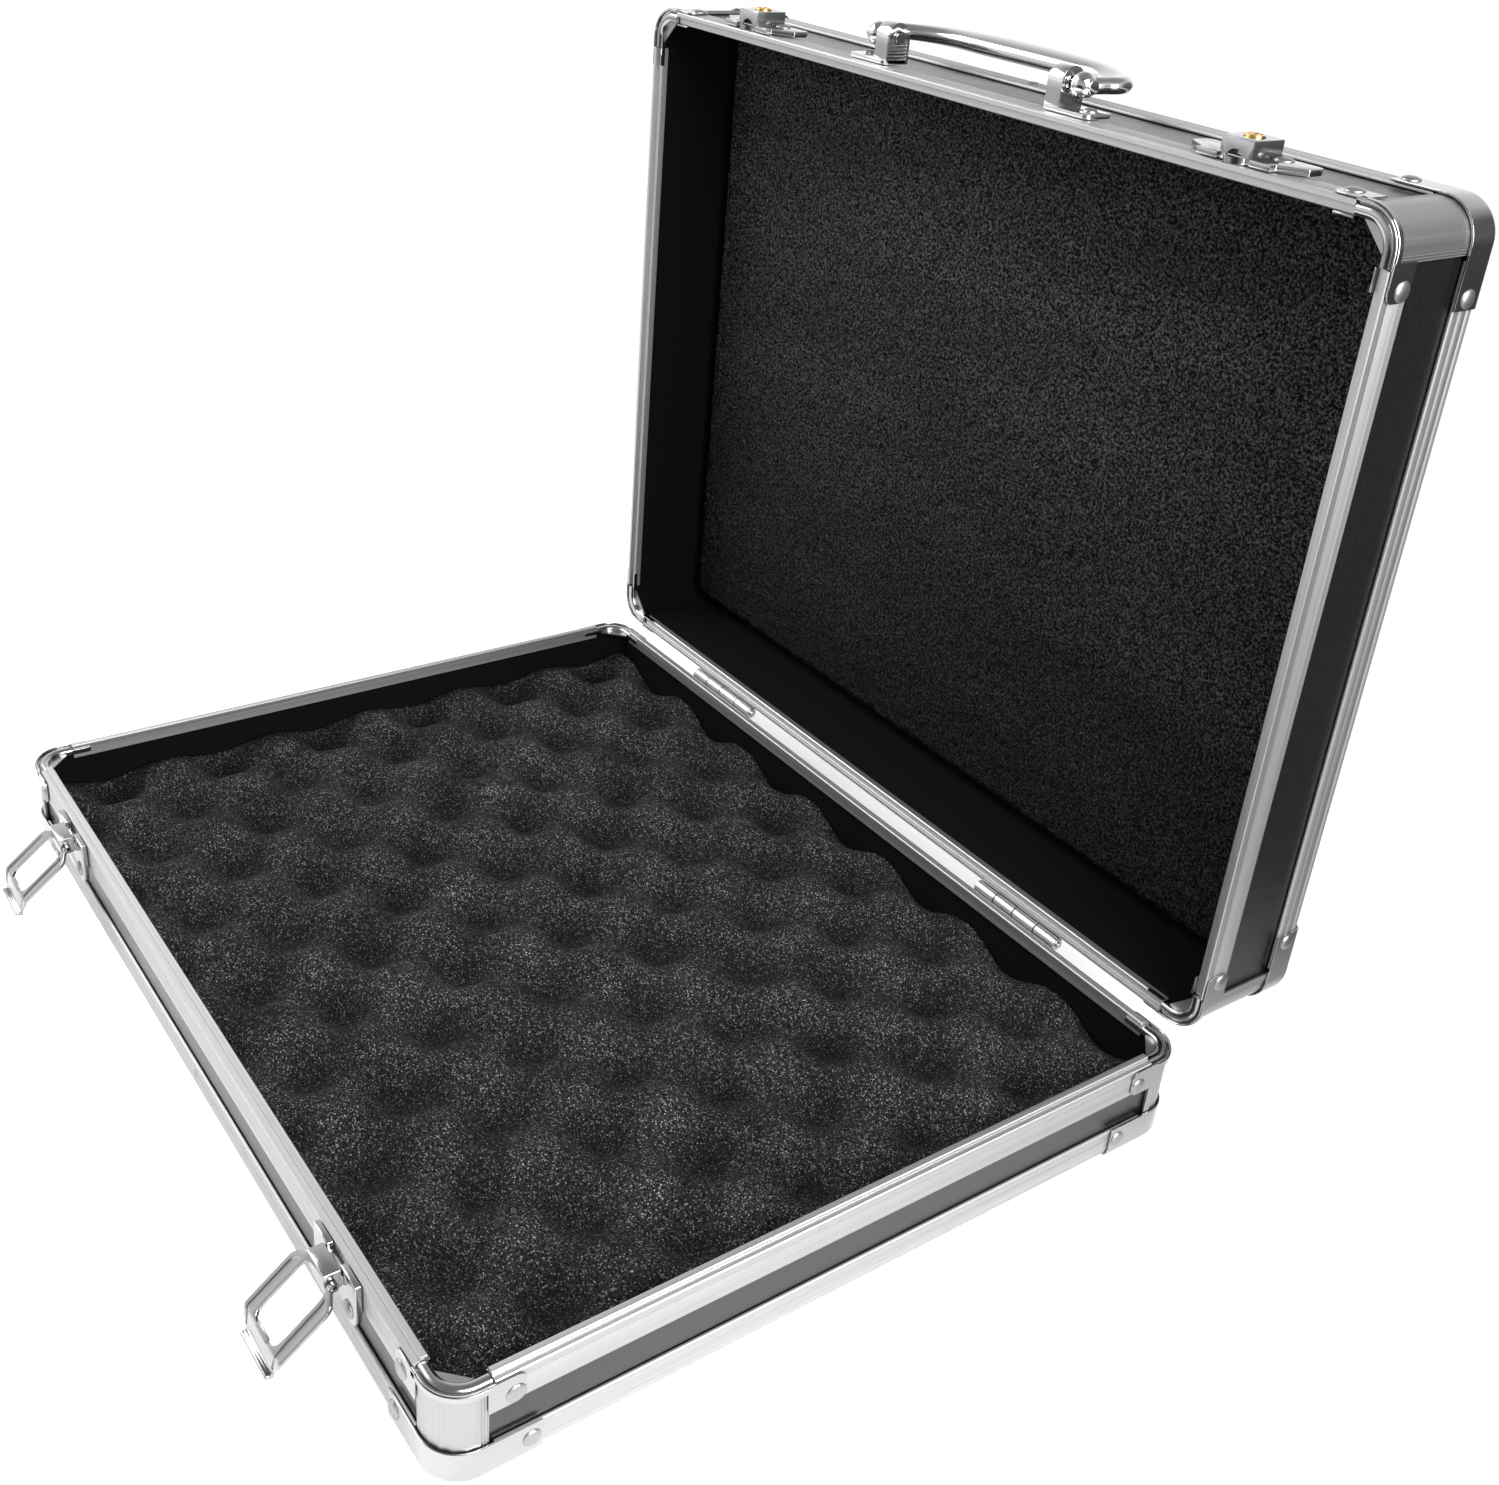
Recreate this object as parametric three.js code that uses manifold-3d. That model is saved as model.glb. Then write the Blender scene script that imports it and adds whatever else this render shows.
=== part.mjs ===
// An aluminium tool case: two framed trays joined by a pair of hinges, with two draw hasps,
// a bail handle and foam. Millimetres, +Z up. X runs along the hinges, the front faces -Y,
// and the lid stands open at a right angle.
import * as THREE from "three";
import { mergeVertices } from "three/addons/utils/BufferGeometryUtils.js";
import Module from "manifold-3d";

const wasm = await Module();
wasm.setup();

// The case as a whole
const caseWidth = 350;
const caseDepth = 265;
const baseHeight = 33.7;
const lidHeight = 44.9;
const cornerRadius = 11;
const closingGap = 0.6;
const openAngle = 90;

// Fits shared by every piece
const seatGap = 0.3;
const edgeBreak = 0.3;
const overrun = 2;
const weldDistance = 0.0001;

// Boards of the two trays
const boardThickness = 1.8;
const boardInnerRadius = 6;
const boardEdgeBreak = 0.9;

// Extruded rim rails, which hold the boards' open edges
const railWall = 1;
const webThickness = 1.1;
const innerFlangeThickness = 0.8;
const innerFlangeHeight = 1.6;
const rimRailHeight = 10;
const tongueStart = 1.9;
const tongueHeight = 1.2;
const flutePlace = 2.6;
const fluteWidth = 0.6;
const fluteDepth = 0.2;
const railSeam = 15;

// Extruded edge rails, which wrap the outer edges
const edgeRailHeight = 11.4;
const edgeRailWidth = 11;
const edgeRailRadius = 2.5;
const edgeFlutePlace = 4.4;
const edgeFlutePitch = 3.4;

// Quarter-round corner posts
const postWall = 1;
const postLeg = 13.4;
const postRibCount = 3;
const postRibWidth = 0.4;
const postRibDepth = 0.25;

// Rim corner brackets
const bracketThickness = 0.5;
const bracketLeg = 23.6;
const bracketLegStart = 12.7;
const bracketLegRadius = 3;
const bracketLipInner = 0.5;
const bracketLipSlope = 0.3;
const ridgeStart = 1.7;
const ridgeTop = 0.15;
const gussetThickness = 0.6;
const gussetReach = 9;
const tabThickness = 0.6;
const tabStart = 8.5;
const tabLength = 15.5;
const tabTop = 1.2;
const tabHeight = 2.4;
const bracketRivetPlace = 20.5;
const bracketRivetDepth = 6.6;
const bracketRivetRadius = 3.05;

// Pressed caps on the outer corners
const capThickness = 0.6;
const capHeight = 12.3;
const capLeg = 28.5;
const capReach = 9.4;
const capRivetPlace = 25.3;
const capRivetHeight = 7.3;
const capRivetRadius = 2.85;
const rivetRise = 1.2;
const rivetRimShare = 0.25;
const frameRivetRadius = 2.2;
const frameRivetRise = 0.7;
const frameRivetHeight = 6.9;

// Hinges
const hingeInset = 82;
const hingeLength = 41.5;
const barrelRadius = 2.4;
const knuckleGap = 0.4;
const knuckleEndShares = [0.246, 0.482, 0.747, 1];
const leafThickness = 0.9;
const leafHeight = 9;
const leafRadius = 2;
const pinRadius = 1.1;
const pinEnd = 0.8;
const leafRivetRadius = 2;
const leafRivetRise = 0.8;
const leafRivetPlace = 5.8;
const leafRivetPitch = 13.4;

// Draw hasps, with the loops' pivots in blocks on the base
const haspInset = 58.3;
const haspTop = 0.2;
const haspHeight = 11.9;
const haspHalfWidth = 13.7;
const haspThickness = 1.9;
const haspNotchHalfWidth = 4.2;
const haspNotchDepth = 3;
const lobePlace = 8.9;
const lobeRadius = 4.6;
const lobeTurn = 150;
const blockHalfWidth = 5.75;
const blockTop = 0.5;
const blockHeight = 6.2;
const blockRise = 4.9;
const pivotDepth = 4.2;
const pivotRise = 3.2;
const stubRadius = 0.9;
const stubLength = 1.6;
const eyeRadius = 1.5;
const eyeWidth = 1.5;
const loopThickness = 1.2;
const loopHalfWidth = 12.3;
const loopArmWidth = 5.3;
const loopFlareStart = 1;
const loopFlareEnd = 3.6;
const loopTaperStart = 17;
const loopTabHalfWidth = 8.95;
const loopTabLength = 7.3;
const loopTabTurn = 40;
const loopLipWidth = 1.4;
const loopLipRise = 1.4;
const loopTilt = 51;

// Lock boxes on the lid, which the loops draw over
const lockBoxTop = 2.9;
const lockBoxLength = 13.5;
const lockBoxHalfWidth = 5.75;
const lockBoxHeight = 6.9;
const lockRecessRadius = 3.6;
const lockRecessDepth = 2.4;
const lockPlateTop = 2;
const lockPlateThickness = 1.9;
const lockNeckHalfWidth = 13.2;
const lockNeckHeight = 2.4;
const lockWingHalfWidth = 21;
const lockWingStart = 9;
const lockWingHeight = 7.2;
const lockWingRadius = 2.5;
const lockRivetPlace = 16.4;
const keyRadius = 2.9;
const keyRise = 0.7;
const keyDepth = 4.4;
const keySlotWidth = 0.8;
const keySlotDepth = 1.2;
const keyHoleDepth = 9.7;
const keySlotShare = 0.75;

// Bail handle and its two brackets
const earWidth = 6.3;
const earRadius = 5.1;
const handlePivotDepth = 10.2;
const handlePivotRise = 8.8;
const footReach = 13;
const footHalfHeight = 5.7;
const footThickness = 1.5;
const footRadius = 2;
const footRivetInset = 4.2;
const footRivetRadius = 2.3;
const handlePinRadius = 1.8;
const handlePinEnd = 0.8;
const ballRadius = 4;
const handleHalfLength = 51.5;
const armBulge = 2.2;
const handleReach = 24.7;
const gripHalfWidth = 6.2;
const gripHalfThickness = 3.5;
const armHalfWidth = 3.2;
const armHalfThickness = 2.6;
const handleTilt = 1;
const bendShares = [[0, 0], [0.86, 0.262], [1, 0.578]];
const archShares = [[0.966, 0.889], [0.49, 0.979]];
const swellShares = [0.05, 0.445];

// Foam
const foamGap = 0.8;
const foamMeanHeight = 13;
const foamWaveHeight = 5.4;
const foamPitchX = 48;
const foamPitchY = 42.7;
const foamPeakX = 31;
const foamPeakY = 0;
const lidFoamDepth = 32.5;
const lidFoamMargin = 4;
const lidFoamEdge = 1.5;

// Faces of the round forms
const cornerSteps = 5;
const smallCornerSteps = 3;
const rivetSides = 8;
const roundSides = 14;
const gripSteps = 30;
const gripSides = 10;
const foamStepsX = 36;
const foamStepsY = 29;

// Sizes that follow from those above
const halfWidth = caseWidth / 2;
const halfDepth = caseDepth / 2;
const hingePlace = halfWidth - hingeInset;
const haspPlace = halfWidth - haspInset;
const boardInset = railWall + seatGap;
const boardInnerInset = boardInset + boardThickness;
const rimRailWidth = boardInnerInset + seatGap + innerFlangeThickness;
const landRecess = tongueHeight + seatGap;
const webBottom = landRecess + webThickness;
const boardTop = webBottom + seatGap;
const bracketProud = seatGap + bracketThickness;
const capProud = seatGap + capThickness;
const panelInset = capProud + railWall + seatGap;
const floorInset = panelInset + boardThickness;
const hingeOffset = barrelRadius + seatGap;
const blockFront = seatGap + haspThickness + seatGap + blockRise;
const pivotOut = seatGap + haspThickness + pivotRise;
const armInner = blockHalfWidth + seatGap;
const windowEnd = pivotDepth + closingGap + lockBoxTop + lockBoxLength + seatGap;
const loopBend = windowEnd + loopThickness / 2;
const ballPlace = handleHalfLength - armBulge;
const earPlace = ballPlace - ballRadius - seatGap - earWidth;

const base = { name: "base", height: baseHeight, tongue: true, turn: -1 };
const lid = { name: "lid", height: lidHeight, tongue: false, turn: 1 };

// Finishes
const finish = (color, roughness, metalness) => ({ color, roughness, metalness });
const satinAluminium = finish(0xd6d7d9, 0.34, 1);
const brushedPost = finish(0xb4b5b7, 0.42, 1);
const nickelPlate = finish(0xc9cacc, 0.2, 1);
const chromePlate = finish(0xdcdde0, 0.1, 1);
const brassPlug = finish(0xcf9f43, 0.25, 1);
const blackPanel = finish(0x2c2c2d, 0.6, 0);
const softFoam = finish(0x2a2a2b, 0.95, 0);

// Closed geometries as solids, joins, cuts and meshes
function signedVolume(points, corners) {
  const p = (i) => new THREE.Vector3().fromArray(points, 3 * corners[i]);
  let sum = 0;
  for (let i = 0; i < corners.length; i += 3) {
    sum += p(i).dot(p(i + 1).cross(p(i + 2)));
  }
  return sum;
}

function solidOf(geometry) {
  const bare = geometry.clone();
  bare.deleteAttribute("normal");
  bare.deleteAttribute("uv");
  const merged = mergeVertices(bare, weldDistance);
  const points = merged.attributes.position.array;
  const corners = [];
  for (let i = 0; i < merged.index.count; i += 3) {
    const [a, b, c] = merged.index.array.slice(i, i + 3);
    if (a !== b && b !== c && c !== a) corners.push(a, b, c);
  }
  if (signedVolume(points, corners) < 0) corners.reverse();
  const triVerts = new Uint32Array(corners);
  return new wasm.Manifold(new wasm.Mesh({ numProp: 3, vertProperties: points, triVerts }));
}

const join = (...solids) => solids.reduce((sum, next) => sum.add(next));
const cut = (solid, ...tools) => tools.reduce((rest, tool) => rest.subtract(tool), solid);

function piece(name, solid, look) {
  const cutMesh = solid.getMesh();
  const geometry = new THREE.BufferGeometry();
  geometry.setAttribute("position", new THREE.BufferAttribute(cutMesh.vertProperties, 3));
  geometry.setIndex(new THREE.BufferAttribute(cutMesh.triVerts, 1));
  const material = new THREE.MeshStandardMaterial({ ...look, flatShading: true });
  const mesh = new THREE.Mesh(geometry, material);
  mesh.name = name;
  return mesh;
}

// A closed skin through copies of one outline, each placed in space by its station
function skin(outline, stations) {
  const contour = outline.map(([a, b]) => new THREE.Vector2(a, b));
  if (THREE.ShapeUtils.isClockWise(contour)) contour.reverse();
  const count = contour.length;
  const positions = stations.flatMap((place) => contour.flatMap(({ x, y }) => place(x, y)));
  const index = [];
  for (let s = 0; s + 1 < stations.length; s++) {
    for (let i = 0; i < count; i++) {
      const [a, b] = [s * count + i, s * count + ((i + 1) % count)];
      index.push(a, b, b + count, a, b + count, a + count);
    }
  }
  const last = (stations.length - 1) * count;
  for (const [a, b, c] of THREE.ShapeUtils.triangulateShape(contour, [])) {
    index.push(c, b, a, last + a, last + b, last + c);
  }
  const geometry = new THREE.BufferGeometry();
  geometry.setAttribute("position", new THREE.Float32BufferAttribute(positions, 3));
  geometry.setIndex(index);
  return solidOf(geometry);
}

const arc = (x, y, radius, from, to, steps) =>
  Array.from({ length: steps + 1 }, (_, i) => {
    const angle = THREE.MathUtils.degToRad(from + ((to - from) * i) / steps);
    return [x + radius * Math.cos(angle), y + radius * Math.sin(angle)];
  });

// An outline in the XY plane, made solid between two levels
const plate = (outline, low, high) =>
  skin(outline, [(x, y) => [x, y, low], (x, y) => [x, y, high]]);

const box = (x0, x1, y0, y1, z0, z1) =>
  solidOf(
    new THREE.BoxGeometry(x1 - x0, y1 - y0, z1 - z0)
      .translate((x0 + x1) / 2, (y0 + y1) / 2, (z0 + z1) / 2),
  );

function roundedRectangle(halfX, halfY, radius, steps = cornerSteps) {
  const [cx, cy] = [halfX - radius, halfY - radius];
  return [
    ...arc(cx, cy, radius, 0, 90, steps),
    ...arc(-cx, cy, radius, 90, 180, steps),
    ...arc(-cx, -cy, radius, 180, 270, steps),
    ...arc(cx, -cy, radius, 270, 360, steps),
  ];
}

// One level of a solid whose outline may be drawn in there
const shrunk = (inset, level) => (x, y) =>
  [x - Math.sign(x) * inset, y - Math.sign(y) * inset, level];

// A round bar along X between two ends, at a place in the YZ plane
const barAlongX = (x0, x1, y, z, radius, sides = roundSides) =>
  solidOf(
    new THREE.CylinderGeometry(radius, radius, x1 - x0, sides)
      .rotateZ(Math.PI / 2)
      .translate((x0 + x1) / 2, y, z),
  );

// A domed rivet head on the XY plane, sunk a little into its plate
function rivetHead(radius, rise, sink) {
  const rim = [[0, -sink], [radius, -sink], [radius, rivetRimShare * rise]];
  const dome = [[radius * Math.cos(Math.PI / 4), rise * Math.sin(Math.PI / 3)], [0, rise]];
  const profile = [...rim, ...dome].map(([x, y]) => new THREE.Vector2(x, y));
  return new THREE.LatheGeometry(profile, rivetSides).rotateX(Math.PI / 2);
}

const rivetAt = (x, y, z, radius, rise, sink) =>
  solidOf(rivetHead(radius, rise, sink).translate(x, y, z));

// Edges of the case: u runs inwards from an outer face, v down from the open rim
const alongX = (x) => (u, v) => [x, halfDepth - u, v];
const alongY = (y) => (u, v) => [halfWidth - u, y, v];
const onSideFace = (out) => (along, v) => [halfWidth + out, halfDepth - along, v];
const onBackFace = (out) => (along, v) => [halfWidth - along, halfDepth + out, v];

function roundCorner(leg) {
  const turn = arc(0, 0, 1, 0, 90, cornerSteps).map(([c, s]) => (u, v) => [
    halfWidth - cornerRadius + (cornerRadius - u) * c,
    halfDepth - cornerRadius + (cornerRadius - u) * s,
    v,
  ]);
  return [alongY(halfDepth - leg), ...turn, alongX(halfWidth - leg)];
}

// Board tray of one half, open at the rim
function shell(half) {
  const outer = roundedRectangle(
    halfWidth - boardInset, halfDepth - boardInset, cornerRadius - boardInset);
  const inner = roundedRectangle(
    halfWidth - boardInnerInset, halfDepth - boardInnerInset, boardInnerRadius);
  return cut(
    skin(outer, [
      shrunk(0, boardTop),
      shrunk(0, half.height - panelInset - boardEdgeBreak),
      shrunk(boardEdgeBreak, half.height - panelInset),
    ]),
    plate(inner, boardTop - overrun, half.height - floorInset),
  );
}

// Rim rail section: the base carries a tongue, and the lid has the land that it drops into
function rimRailOutline(half) {
  const tongue = [
    [tongueStart, 0],
    [tongueStart, edgeBreak - tongueHeight],
    [tongueStart + edgeBreak, -tongueHeight],
  ];
  const rebate = [[tongueStart - seatGap, 0], [tongueStart - seatGap, landRecess]];
  const land = half.tongue ? -tongueHeight : landRecess;
  return [
    [0, rimRailHeight],
    [0, flutePlace + fluteWidth],
    [fluteDepth, flutePlace + fluteWidth / 2],
    [0, flutePlace],
    [0, edgeBreak],
    [edgeBreak, 0],
    ...(half.tongue ? tongue : rebate),
    [rimRailWidth - edgeBreak, land],
    [rimRailWidth, land + edgeBreak],
    [rimRailWidth, webBottom + innerFlangeHeight],
    [rimRailWidth - innerFlangeThickness, webBottom + innerFlangeHeight],
    [rimRailWidth - innerFlangeThickness, webBottom],
    [railWall, webBottom],
    [railWall, rimRailHeight],
  ];
}

// Edge rail section: two legs round the outer edge, with long flutes on the outer one
function edgeRailOutline(half) {
  const face = half.height - capProud;
  const centre = face - edgeRailRadius;
  const flutes = [0, 1].flatMap((i) => {
    const at = half.height - edgeFlutePlace - i * edgeFlutePitch;
    return [[0, at], [fluteDepth, at - fluteWidth / 2], [0, at - fluteWidth]];
  });
  return [
    [edgeRailWidth, face],
    ...arc(edgeRailRadius, centre, edgeRailRadius, 90, 180, cornerSteps - 2),
    ...flutes,
    [0, half.height - edgeRailHeight],
    [railWall, half.height - edgeRailHeight],
    ...arc(edgeRailRadius, centre, edgeRailRadius - railWall, 180, 90, cornerSteps - 2),
    [edgeRailWidth, face - railWall],
  ];
}

const widthRail = (outline) =>
  skin(outline, [alongX(railSeam - halfWidth), alongX(halfWidth - railSeam)]);
const depthRail = (outline) =>
  skin(outline, [alongY(railSeam - halfDepth), alongY(halfDepth - railSeam)]);

// The edge rail of a front is held at its middle by one low rivet
function rivetedWidthRail(half) {
  const rivet = rivetHead(frameRivetRadius, frameRivetRise, railWall / 2)
    .rotateX(-Math.PI / 2)
    .translate(0, halfDepth, half.height - frameRivetHeight);
  return join(widthRail(edgeRailOutline(half)), solidOf(rivet));
}

// Quarter-round post with fine ribs down both of its legs
function cornerPost(half) {
  const pitch = (postLeg - cornerRadius) / postRibCount;
  const ribs = Array.from({ length: postRibCount }, (_, i) => {
    const at = postLeg - (i + 0.5) * pitch;
    return [[at + postRibWidth / 2, 0], [at, postRibDepth], [at - postRibWidth / 2, 0]];
  }).flat();
  const swap = ([a, b]) => [b, a];
  const inner = cornerRadius - postWall;
  const turn = (radius, from, to) =>
    arc(cornerRadius, cornerRadius, radius, from, to, cornerSteps);
  const outline = [
    [0, postLeg],
    ...ribs.map(swap),
    ...turn(cornerRadius, 180, 270),
    ...ribs.toReversed(),
    [postLeg, 0],
    [postLeg, postWall],
    ...turn(inner, 270, 180),
    [postWall, postLeg],
  ];
  const level = (v) => (a, b) => [halfWidth - a, halfDepth - b, v];
  return skin(outline, [level(boardTop), level(half.height - panelInset)]);
}

// Rivet heads on the two faces that meet at a corner
function cornerRivets(place, depth, proud, radius, sink) {
  const side = rivetHead(radius, rivetRise, sink)
    .rotateY(Math.PI / 2)
    .translate(halfWidth + proud, halfDepth - place, depth);
  const back = rivetHead(radius, rivetRise, sink)
    .rotateX(-Math.PI / 2)
    .translate(halfWidth - place, halfDepth + proud, depth);
  return [solidOf(side), solidOf(back)];
}

// Rim corner section: thin outer wall, groove, and the half-round ridge inside it
function rimCornerOutline() {
  const ridgeRadius = (rimRailWidth - ridgeStart) / 2;
  const groove = ridgeTop + ridgeRadius;
  return [
    [-bracketProud, webBottom],
    [-bracketProud, edgeBreak],
    [edgeBreak - bracketProud, 0],
    [bracketLipInner, 0],
    [bracketLipInner + bracketLipSlope, groove],
    ...arc(rimRailWidth - ridgeRadius, groove, ridgeRadius, 180, 360, cornerSteps),
    [rimRailWidth, webBottom],
  ];
}

function bracketLegOutline() {
  const end = bracketLeg - bracketLegRadius;
  const low = rimRailHeight - bracketLegRadius;
  return [
    [bracketLegStart, edgeBreak],
    ...arc(end, edgeBreak + bracketLegRadius, bracketLegRadius, 270, 360, cornerSteps - 2),
    ...arc(end, low, bracketLegRadius, 0, 90, cornerSteps - 2),
    [bracketLegStart, rimRailHeight],
  ];
}

// The flat web across a rim corner, which ties its two sides
function gusset() {
  const inset = rimRailWidth - gussetThickness;
  const reach = rimRailWidth + gussetReach;
  const outline = [
    [inset, reach],
    ...arc(cornerRadius, cornerRadius, cornerRadius - inset, 180, 270, cornerSteps),
    [reach, inset],
  ];
  const level = (v) => (a, b) => [halfWidth - a, halfDepth - b, v];
  return skin(outline, [level(webBottom - gussetThickness), level(webBottom)]);
}

function innerTabs() {
  const low = rimRailWidth + seatGap;
  const high = low + tabThickness;
  const end = tabStart + tabLength;
  const [x0, x1] = [halfWidth - high, halfWidth - low];
  const [y0, y1] = [halfDepth - high, halfDepth - low];
  return [
    box(x0, x1, halfDepth - end, halfDepth - tabStart, tabTop, tabTop + tabHeight),
    box(halfWidth - end, halfWidth - tabStart, y0, y1, tabTop, tabTop + tabHeight),
  ];
}

function rimCorner() {
  const leg = bracketLegOutline();
  return join(
    skin(rimCornerOutline(), roundCorner(railSeam - seatGap)),
    skin(leg, [onSideFace(seatGap), onSideFace(bracketProud)]),
    skin(leg, [onBackFace(seatGap), onBackFace(bracketProud)]),
    gusset(),
    ...innerTabs(),
    ...cornerRivets(bracketRivetPlace, bracketRivetDepth, bracketProud,
      bracketRivetRadius, bracketThickness / 2),
  );
}

// Pressed cap that wraps an outer corner and turns in under the panel
function edgeCorner(half) {
  const outerRadius = edgeRailRadius + capProud;
  const centre = half.height - outerRadius;
  const outline = [
    [capReach, half.height],
    ...arc(edgeRailRadius, centre, outerRadius, 90, 180, cornerSteps - 1),
    [-capProud, half.height - capHeight],
    [-seatGap, half.height - capHeight],
    ...arc(edgeRailRadius, centre, outerRadius - capThickness, 180, 90, cornerSteps - 1),
    [capReach, half.height - capThickness],
  ];
  return join(
    skin(outline, roundCorner(capLeg)),
    ...cornerRivets(capRivetPlace, half.height - capRivetHeight, capProud,
      capRivetRadius, capThickness / 2),
  );
}

// Hinge leaf on a back face; its knuckles lie on the shared axis, off the face and the rim
function hingeLeaf(half, own, centre) {
  const axisY = halfDepth + hingeOffset;
  const axisV = -closingGap / 2;
  const ends = [0, ...knuckleEndShares].map((share) => (share - 0.5) * hingeLength);
  const spans = own.map((i) => [ends[i] + knuckleGap / 2, ends[i + 1] - knuckleGap / 2]);
  const turned = spans.map(([a, b]) => (half.turn < 0 ? [-b, -a] : [a, b]));
  const notch = barrelRadius + seatGap - closingGap / 2;
  const outline = [
    [-hingeLength / 2, notch],
    [hingeLength / 2, notch],
    ...arc(hingeLength / 2 - leafRadius, leafHeight - leafRadius, leafRadius,
      0, 90, smallCornerSteps),
    ...arc(leafRadius - hingeLength / 2, leafHeight - leafRadius, leafRadius,
      90, 180, smallCornerSteps),
  ];
  const level = (out) => (x, v) => [centre + x, halfDepth + out, v];
  const [inner, outer] = [seatGap, seatGap + leafThickness];
  const rivets = [-1, 0, 1].map((i) =>
    solidOf(rivetHead(leafRivetRadius, leafRivetRise, leafThickness / 2)
      .rotateX(-Math.PI / 2)
      .translate(centre + i * leafRivetPitch, halfDepth + outer, leafRivetPlace)));
  const knuckles = turned.flatMap(([a, b]) => [
    box(centre + a, centre + b, halfDepth + inner, halfDepth + outer, axisV, notch + edgeBreak),
    barAlongX(centre + a, centre + b, axisY, axisV, barrelRadius),
  ]);
  const leaf = join(skin(outline, [level(inner), level(outer)]), ...knuckles, ...rivets);
  const pin = (radius, end) => barAlongX(
    centre - hingeLength / 2 - end, centre + hingeLength / 2 + end, axisY, axisV, radius);
  if (half.tongue) return join(leaf, pin(pinRadius, pinEnd));
  return cut(leaf, pin(pinRadius + seatGap, overrun));
}

// Pieces on the front faces are drawn flat: x along the case, y down from the rim, z outwards
function frontFrame(x = 0) {
  const frame = new THREE.Group();
  frame.position.set(x, -halfDepth, 0);
  frame.rotation.x = Math.PI / 2;
  return frame;
}

// Hasp plate with two flanges at the rim, two riveted lobes, and the block that holds the loop's pivot
function haspPlate() {
  const [low, high] = [seatGap, seatGap + haspThickness];
  const lobeDepth = haspTop + haspHeight;
  const outline = [
    [haspHalfWidth, haspTop],
    [haspHalfWidth, lobeDepth - lobeRadius / 2],
    ...arc(lobePlace, lobeDepth, lobeRadius, 0, lobeTurn, cornerSteps),
    ...arc(-lobePlace, lobeDepth, lobeRadius, 180 - lobeTurn, 180, cornerSteps),
    [-haspHalfWidth, lobeDepth - lobeRadius / 2],
    [-haspHalfWidth, haspTop],
    [-haspNotchHalfWidth, haspTop],
    [-haspNotchHalfWidth, haspTop + haspNotchDepth],
    [haspNotchHalfWidth, haspTop + haspNotchDepth],
    [haspNotchHalfWidth, haspTop],
  ];
  const block = box(-blockHalfWidth, blockHalfWidth, blockTop, blockTop + blockHeight,
    high + seatGap, blockFront);
  const neck = box(-blockHalfWidth, blockHalfWidth, haspTop + haspNotchDepth + seatGap,
    blockTop + blockHeight, high - haspThickness / 2, blockFront - stubRadius);
  const rivets = [-1, 1].map((side) =>
    rivetAt(side * lobePlace, lobeDepth, high, capRivetRadius, rivetRise, haspThickness / 2));
  const bore = barAlongX(-blockHalfWidth - overrun, blockHalfWidth + overrun,
    pivotDepth, pivotOut, stubRadius + seatGap);
  return cut(join(plate(outline, low, high), block, neck, ...rivets), bore);
}

// Hasp loop, drawn about its pivot with flat arms along +y; its tab turns away from the shut case
function haspLoop() {
  const inner = loopHalfWidth - loopArmWidth;
  const arm = armInner + eyeWidth;
  const side = [
    [armInner, 0],
    [arm, 0],
    [arm, loopFlareStart],
    [loopHalfWidth, loopFlareEnd],
    [loopHalfWidth, loopBend],
  ];
  const window = [
    [armInner, loopFlareStart],
    [inner, loopFlareEnd],
    [inner, loopTaperStart],
    [armInner, windowEnd],
  ];
  const mirrored = (points) => points.map(([x, y]) => [-x, y]).toReversed();
  const outline = [
    ...side,
    ...mirrored(side),
    ...mirrored(window).toReversed(),
    ...window.toReversed(),
  ];
  const half = loopThickness / 2;
  const frame = plate(outline, -half, half);
  const fold = barAlongX(-loopHalfWidth, loopHalfWidth, loopBend, 0, half);
  const pivots = [-1, 1].flatMap((s) => {
    const bar = (from, to, radius) =>
      barAlongX(Math.min(s * from, s * to), Math.max(s * from, s * to), 0, 0, radius);
    return [bar(armInner, arm, eyeRadius), bar(armInner - stubLength, arm - seatGap, stubRadius)];
  });
  return join(frame, fold, ...loopTab(half), ...pivots);
}

// The loop's tab and the lip across its end, turned about the fold
function loopTab(half) {
  const turn = THREE.MathUtils.degToRad(loopTabTurn);
  const [c, s] = [Math.cos(turn), Math.sin(turn)];
  const level = (rise) => (x, y) => [x, loopBend + y * c + rise * s, rise * c - y * s];
  const sheet = [
    [loopHalfWidth, 0],
    [loopTabHalfWidth, loopTabLength],
    [-loopTabHalfWidth, loopTabLength],
    [-loopHalfWidth, 0],
  ];
  const lip = [
    [loopTabHalfWidth, loopTabLength - loopLipWidth],
    [loopTabHalfWidth, loopTabLength],
    [-loopTabHalfWidth, loopTabLength],
    [-loopTabHalfWidth, loopTabLength - loopLipWidth],
  ];
  return [
    skin(sheet, [level(-half), level(half)]),
    skin(lip, [level(0), level(half + loopLipRise)]),
  ];
}

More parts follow.
